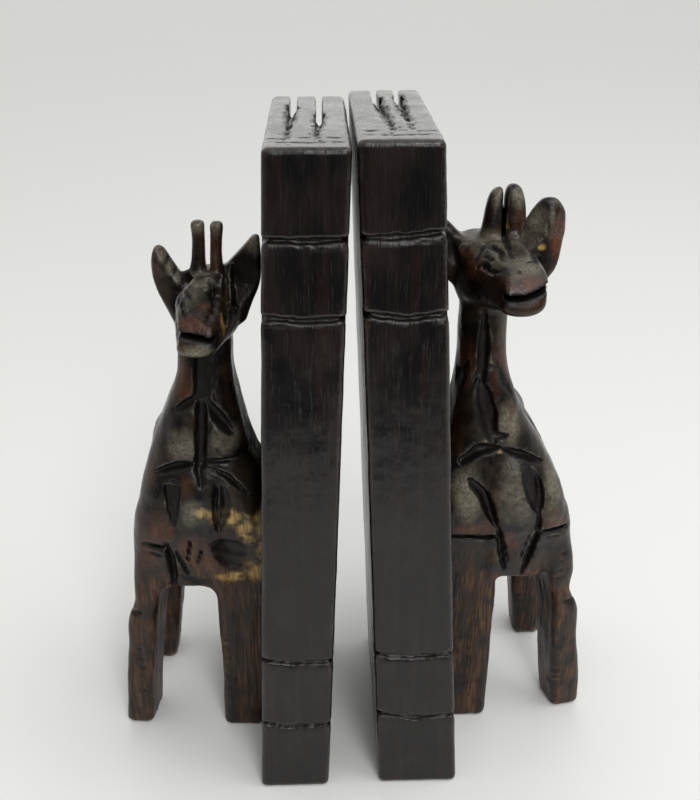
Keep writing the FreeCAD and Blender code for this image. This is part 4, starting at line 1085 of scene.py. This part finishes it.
class Finish(Wiring):
    """A material being wired up."""

    def __init__(self, name):
        self.material = bpy.data.materials.new(name)
        self.material.use_nodes = True
        super().__init__(self.material.node_tree)
        self.shader = next(node for node in self.tree.nodes if node.type == "BSDF_PRINCIPLED")
        self.place = self.node("TexCoord", {}, "Object")

    def mark(self, name):
        """One of the numbers stored on the mesh's points."""
        return self.node("Attribute", {}, "Fac", attribute_name=name)

    def noise(self, size, detail=3.0, turn=(0, 0, 0)):
        """Noise from about 0 to 1, with bumps of that size (one number, or one per axis) in mm."""
        sizes = size if isinstance(size, tuple) else (size, size, size)
        scales = [1 / (value * MM) for value in sizes]
        angles = [math.radians(angle) for angle in turn]
        placed = self.node("Mapping", {"Vector": self.place, "Rotation": angles, "Scale": scales})
        return self.node("TexNoise", {"Vector": placed, "Scale": 1.0, "Detail": detail}, "Fac")

    def blend(self, factor, first, second):
        """The first colour where the factor is 0, the second where it is 1."""
        first, second = ((*one, 1.0) if isinstance(one, tuple) else one for one in (first, second))
        inputs = {MIX_FACTOR: factor, MIX_FIRST: first, MIX_SECOND: second}
        return self.node("Mix", inputs, MIX_RESULT, data_type="RGBA")

    def colour(self, output):
        self.tree.links.new(output, self.shader.inputs["Base Color"])

    def roughness(self, output):
        self.tree.links.new(output, self.shader.inputs["Roughness"])

    def bump(self, height, depth):
        normal = self.node("Bump", {"Height": height, "Strength": 1.0, "Distance": depth * MM})
        self.tree.links.new(normal, self.shader.inputs["Normal"])


def giraffe_wood():
    """Dark stained wood, hand rubbed: brown where the stain is thin, grey where edges are worn and where
    highlights are painted, near black with painted shade in cuts and hollows.
    """
    finish = Finish("giraffe_wood")
    grain = finish.noise((0.7, 0.7, 9.0), 4.0)
    streaks = finish.noise((2.2, 2.2, 30.0), 3.0)
    mottle = finish.noise(6.0, 4.0)
    speckle = finish.noise(0.8, 3.0)
    dark = finish.blend(finish.ramp(mottle, 0.40, 0.66), (0.0058, 0.0040, 0.0030), (0.0230, 0.0150, 0.0088))
    dark = finish.blend(finish.ramp(grain, 0.58, 0.76, 0.0, 0.35), dark, (0.034, 0.0185, 0.0110))
    warm_wood = finish.blend(finish.ramp(streaks, 0.35, 0.65), (0.034, 0.0115, 0.0056), (0.105, 0.037, 0.015))
    warm_wood = finish.blend(finish.ramp(speckle, 0.50, 0.66, 0.0, 0.8), warm_wood, (0.014, 0.0070, 0.0050))
    colour = finish.blend(finish.ramp(finish.mark("warm"), 0.1, 1.0, 0.0, 0.85), dark, warm_wood)
    leg_wood = finish.blend(finish.ramp(grain, 0.38, 0.66), (0.017, 0.0070, 0.0030), (0.150, 0.0670, 0.0260))
    leg_amount = finish.times(finish.mark("legs"), finish.ramp(streaks, 0.36, 0.62, 0.05, 0.85))
    leg_amount = finish.times(leg_amount, finish.ramp(mottle, 0.36, 0.56, 0.15, 1.0))
    colour = finish.blend(leg_amount, colour, leg_wood)
    pale_wood = finish.blend(finish.ramp(grain, 0.35, 0.65), (0.20, 0.118, 0.030), (0.44, 0.30, 0.095))
    stained = finish.ramp(finish.noise(3.0, 5.0), 0.45, 0.64, 1.0, 0.10)
    colour = finish.blend(finish.times(finish.mark("sapwood"), stained), colour, pale_wood)
    edge = finish.ramp(finish.mark("edge"), 0.45, 1.0)
    wear = finish.times(edge, finish.ramp(mottle, 0.40, 0.62, 0.05, 0.8))
    # Worn edges and the painted highlights of the "rubbed" mark lighten to the same grey.
    rubbed = finish.times(finish.mark("rubbed"), finish.ramp(speckle, 0.36, 0.62, 0.45, 1.0))
    colour = finish.blend(finish.sum(wear, rubbed, "MAXIMUM"), colour, (0.185, 0.168, 0.122))
    # Cuts and hollows go near black: painted shade in both, with the dark wax left in the cuts.
    cut_mask = finish.ramp(finish.mark("scar"), 0.25, 0.85, 0.0, 0.9)
    cut_mask = finish.sum(cut_mask, finish.ramp(finish.mark("hollow_shade"), 0.30, 0.85, 0.0, 0.85), "MAXIMUM")
    colour = finish.blend(cut_mask, colour, (0.0034, 0.0026, 0.0022))
    finish.colour(colour)
    gloss = finish.ramp(mottle, 0.35, 0.65, 0.25, 0.38)
    gloss = finish.sum(gloss, finish.ramp(grain, 0.40, 0.70, -0.03, 0.07))
    gloss = finish.sum(gloss, finish.times(finish.mark("legs"), 0.10))
    finish.roughness(finish.sum(gloss, finish.times(cut_mask, 0.14)))
    relief = finish.sum(finish.times(grain, finish.ramp(finish.mark("legs"), 0.0, 1.0, 0.2, 1.0)),
                        finish.times(speckle, 0.22))
    relief = finish.sum(relief, finish.times(finish.noise(2.6, 3.0), 0.5))
    finish.bump(relief, 0.32)
    finish.shader.inputs["Specular IOR Level"].default_value = 0.33
    return finish.material


def book_wood():
    """The same wood stained nearly black and sanded flat, with fine upright grain and small scratches."""
    finish = Finish("book_wood")
    grain = finish.noise((0.45, 0.45, 16.0), 4.0)
    streaks = finish.noise((2.6, 2.6, 60.0), 3.0)
    mottle = finish.noise((9.0, 9.0, 16.0), 4.0)
    scratches = finish.noise((0.35, 3.5, 7.0), 2.0, turn=(0, 48, 0))
    speckle = finish.noise(1.1, 3.0)
    colour = finish.blend(finish.ramp(mottle, 0.42, 0.64), (0.0034, 0.0028, 0.0031), (0.0105, 0.0060, 0.0050))
    colour = finish.blend(finish.ramp(streaks, 0.50, 0.68, 0.0, 0.45), colour, (0.020, 0.0098, 0.0068))
    colour = finish.blend(finish.ramp(grain, 0.58, 0.78, 0.0, 0.22), colour, (0.024, 0.0180, 0.0145))
    # The level top is painted a lighter grey: a painted highlight.
    top_sheen = finish.times(finish.mark("crown"), finish.ramp(speckle, 0.35, 0.65, 0.35, 0.85))
    colour = finish.blend(top_sheen, colour, (0.085, 0.080, 0.068))
    edge = finish.ramp(finish.mark("edge"), 0.30, 0.95)
    wear = finish.times(edge, finish.ramp(speckle, 0.38, 0.62, 0.15, 0.9))
    colour = finish.blend(wear, colour, (0.085, 0.068, 0.052))
    cut_mask = finish.ramp(finish.mark("scar"), 0.30, 0.90, 0.0, 0.9)
    cut_wood = finish.blend(finish.ramp(grain, 0.45, 0.7), (0.0050, 0.0040, 0.0036), (0.0170, 0.0125, 0.0100))
    colour = finish.blend(cut_mask, colour, cut_wood)
    finish.colour(colour)
    gloss = finish.ramp(mottle, 0.35, 0.65, 0.22, 0.30)
    gloss = finish.sum(gloss, finish.ramp(grain, 0.40, 0.70, -0.02, 0.05))
    finish.roughness(finish.sum(gloss, finish.times(cut_mask, 0.12)))
    relief = finish.sum(finish.times(grain, 0.30), finish.ramp(scratches, 0.62, 0.72, 0.0, -0.35))
    relief = finish.sum(relief, finish.times(finish.noise(5.0, 2.0), 0.8))
    finish.bump(relief, 0.22)
    finish.shader.inputs["Specular IOR Level"].default_value = 0.42
    return finish.material


def dowel_wood():
    """Plain turned pin wood, pale, with fine grain along the pin."""
    finish = Finish("dowel_wood")
    grain = finish.noise((12.0, 0.5, 0.5), 4.0)
    rings = finish.noise((30.0, 1.8, 1.8), 2.0)
    colour = finish.blend(finish.ramp(grain, 0.35, 0.68), (0.33, 0.205, 0.105), (0.50, 0.345, 0.190))
    finish.colour(finish.blend(finish.ramp(rings, 0.45, 0.7, 0.0, 0.5), colour, (0.27, 0.160, 0.078)))
    finish.roughness(finish.ramp(grain, 0.3, 0.7, 0.55, 0.72))
    finish.bump(grain, 0.10)
    return finish.material


# ---- Floor, light and camera ----

def level_sheet(name, low, high, up, finish):
    """A flat rectangle between two corners (x, y) at a height."""
    mesh = bpy.data.meshes.new(name)
    corners = [(low[0], low[1], up), (high[0], low[1], up), (high[0], high[1], up), (low[0], high[1], up)]
    mesh.from_pydata(corners, [], [(0, 1, 2, 3)])
    mesh.materials.append(finish.material)
    return add_object(name, mesh)


def build_floor():
    """A pale seamless table."""
    finish = Finish("floor_paint")
    finish.colour(finish.blend(finish.noise(420.0, 2.0), (0.86, 0.86, 0.845), (0.88, 0.88, 0.87)))
    finish.shader.inputs["Roughness"].default_value = 0.55
    finish.shader.inputs["Specular IOR Level"].default_value = 0.25
    floor = level_sheet("floor", (-4.0, -4.0), (4.0, 4.0), 0.0, finish)


def build_flag():
    """A black studio flag lying on the camera's side, seen only in the polish of the wood."""
    finish = Finish("flag_cloth")
    finish.shader.inputs["Base Color"].default_value = (0.02, 0.02, 0.02, 1)
    finish.shader.inputs["Roughness"].default_value = 0.9
    flag = level_sheet("flag", (-3.0, -3.0), (3.0, -0.26), 0.002, finish)
    flag.visible_camera = False
    flag.visible_diffuse = False
    flag.visible_shadow = False


def light_world():
    """Pale light from above and behind, dim low on the camera's side."""
    world = bpy.data.worlds.new("studio")
    bpy.context.scene.world = world
    world.use_nodes = True
    wiring = Wiring(world.node_tree)
    place = wiring.node("TexCoord", {}, "Generated")
    up, rear = (wiring.node("SeparateXYZ", {"Vector": place}, axis) for axis in "ZY")
    above_and_behind = wiring.node("Math", {0: up, 1: 1.2, 2: rear}, operation="MULTIPLY_ADD")
    strength = wiring.sum(wiring.ramp(above_and_behind, -0.9, 0.9, 0.04, 0.72),
                          wiring.ramp(rear, 0.55, 1.0, 0.0, 0.7))
    background = next(node for node in wiring.tree.nodes if node.type == "BACKGROUND")
    background.inputs["Color"].default_value = (1.0, 1.0, 0.97, 1)
    wiring.tree.links.new(strength, background.inputs["Strength"])


def add_area_light(name, place, target, size, power):
    light = bpy.data.lights.new(name, "AREA")
    light.shape = "DISK"
    light.size = size
    light.energy = power
    lamp = add_object(name, light)
    lamp.location = place
    lamp.rotation_euler = (Vector(target) - Vector(place)).to_track_quat("-Z", "Y").to_euler()


def place_camera():
    camera = bpy.data.cameras.new("camera")
    camera.lens = 46.97
    camera.sensor_width = 36.0
    camera.clip_start = 0.01
    eye = add_object("camera", camera)
    eye.location = (-0.01069, -0.28912, 0.25147)
    eye.rotation_euler = (math.radians(64.56), 0, math.radians(-1.81))
    bpy.context.scene.camera = eye


book_finish = book_wood()
giraffe_finish = giraffe_wood()
dowel_finish = dowel_wood()
for book_side in (LEFT, RIGHT):
    build_book(book_side, book_finish)
    build_giraffe(book_side, giraffe_finish)
for node_name, node in frame["nodes"].items():
    if node_name.endswith("dowel"):
        node.data.materials.clear()
        node.data.materials.append(dowel_finish)

build_floor()
build_flag()
light_world()
add_area_light("overhead", (0.60, -0.20, 1.15), (0.15, -0.05, 0), 0.8, 3.4)
add_area_light("front", (0.18, -0.62, 0.78), (0, 0, 0.08), 0.28, 2.2)
add_area_light("window", (0.16, -0.95, 0.50), (0, 0, 0.10), 0.40, 2.2)
place_camera()
bpy.context.scene.view_settings.view_transform = "Standard"
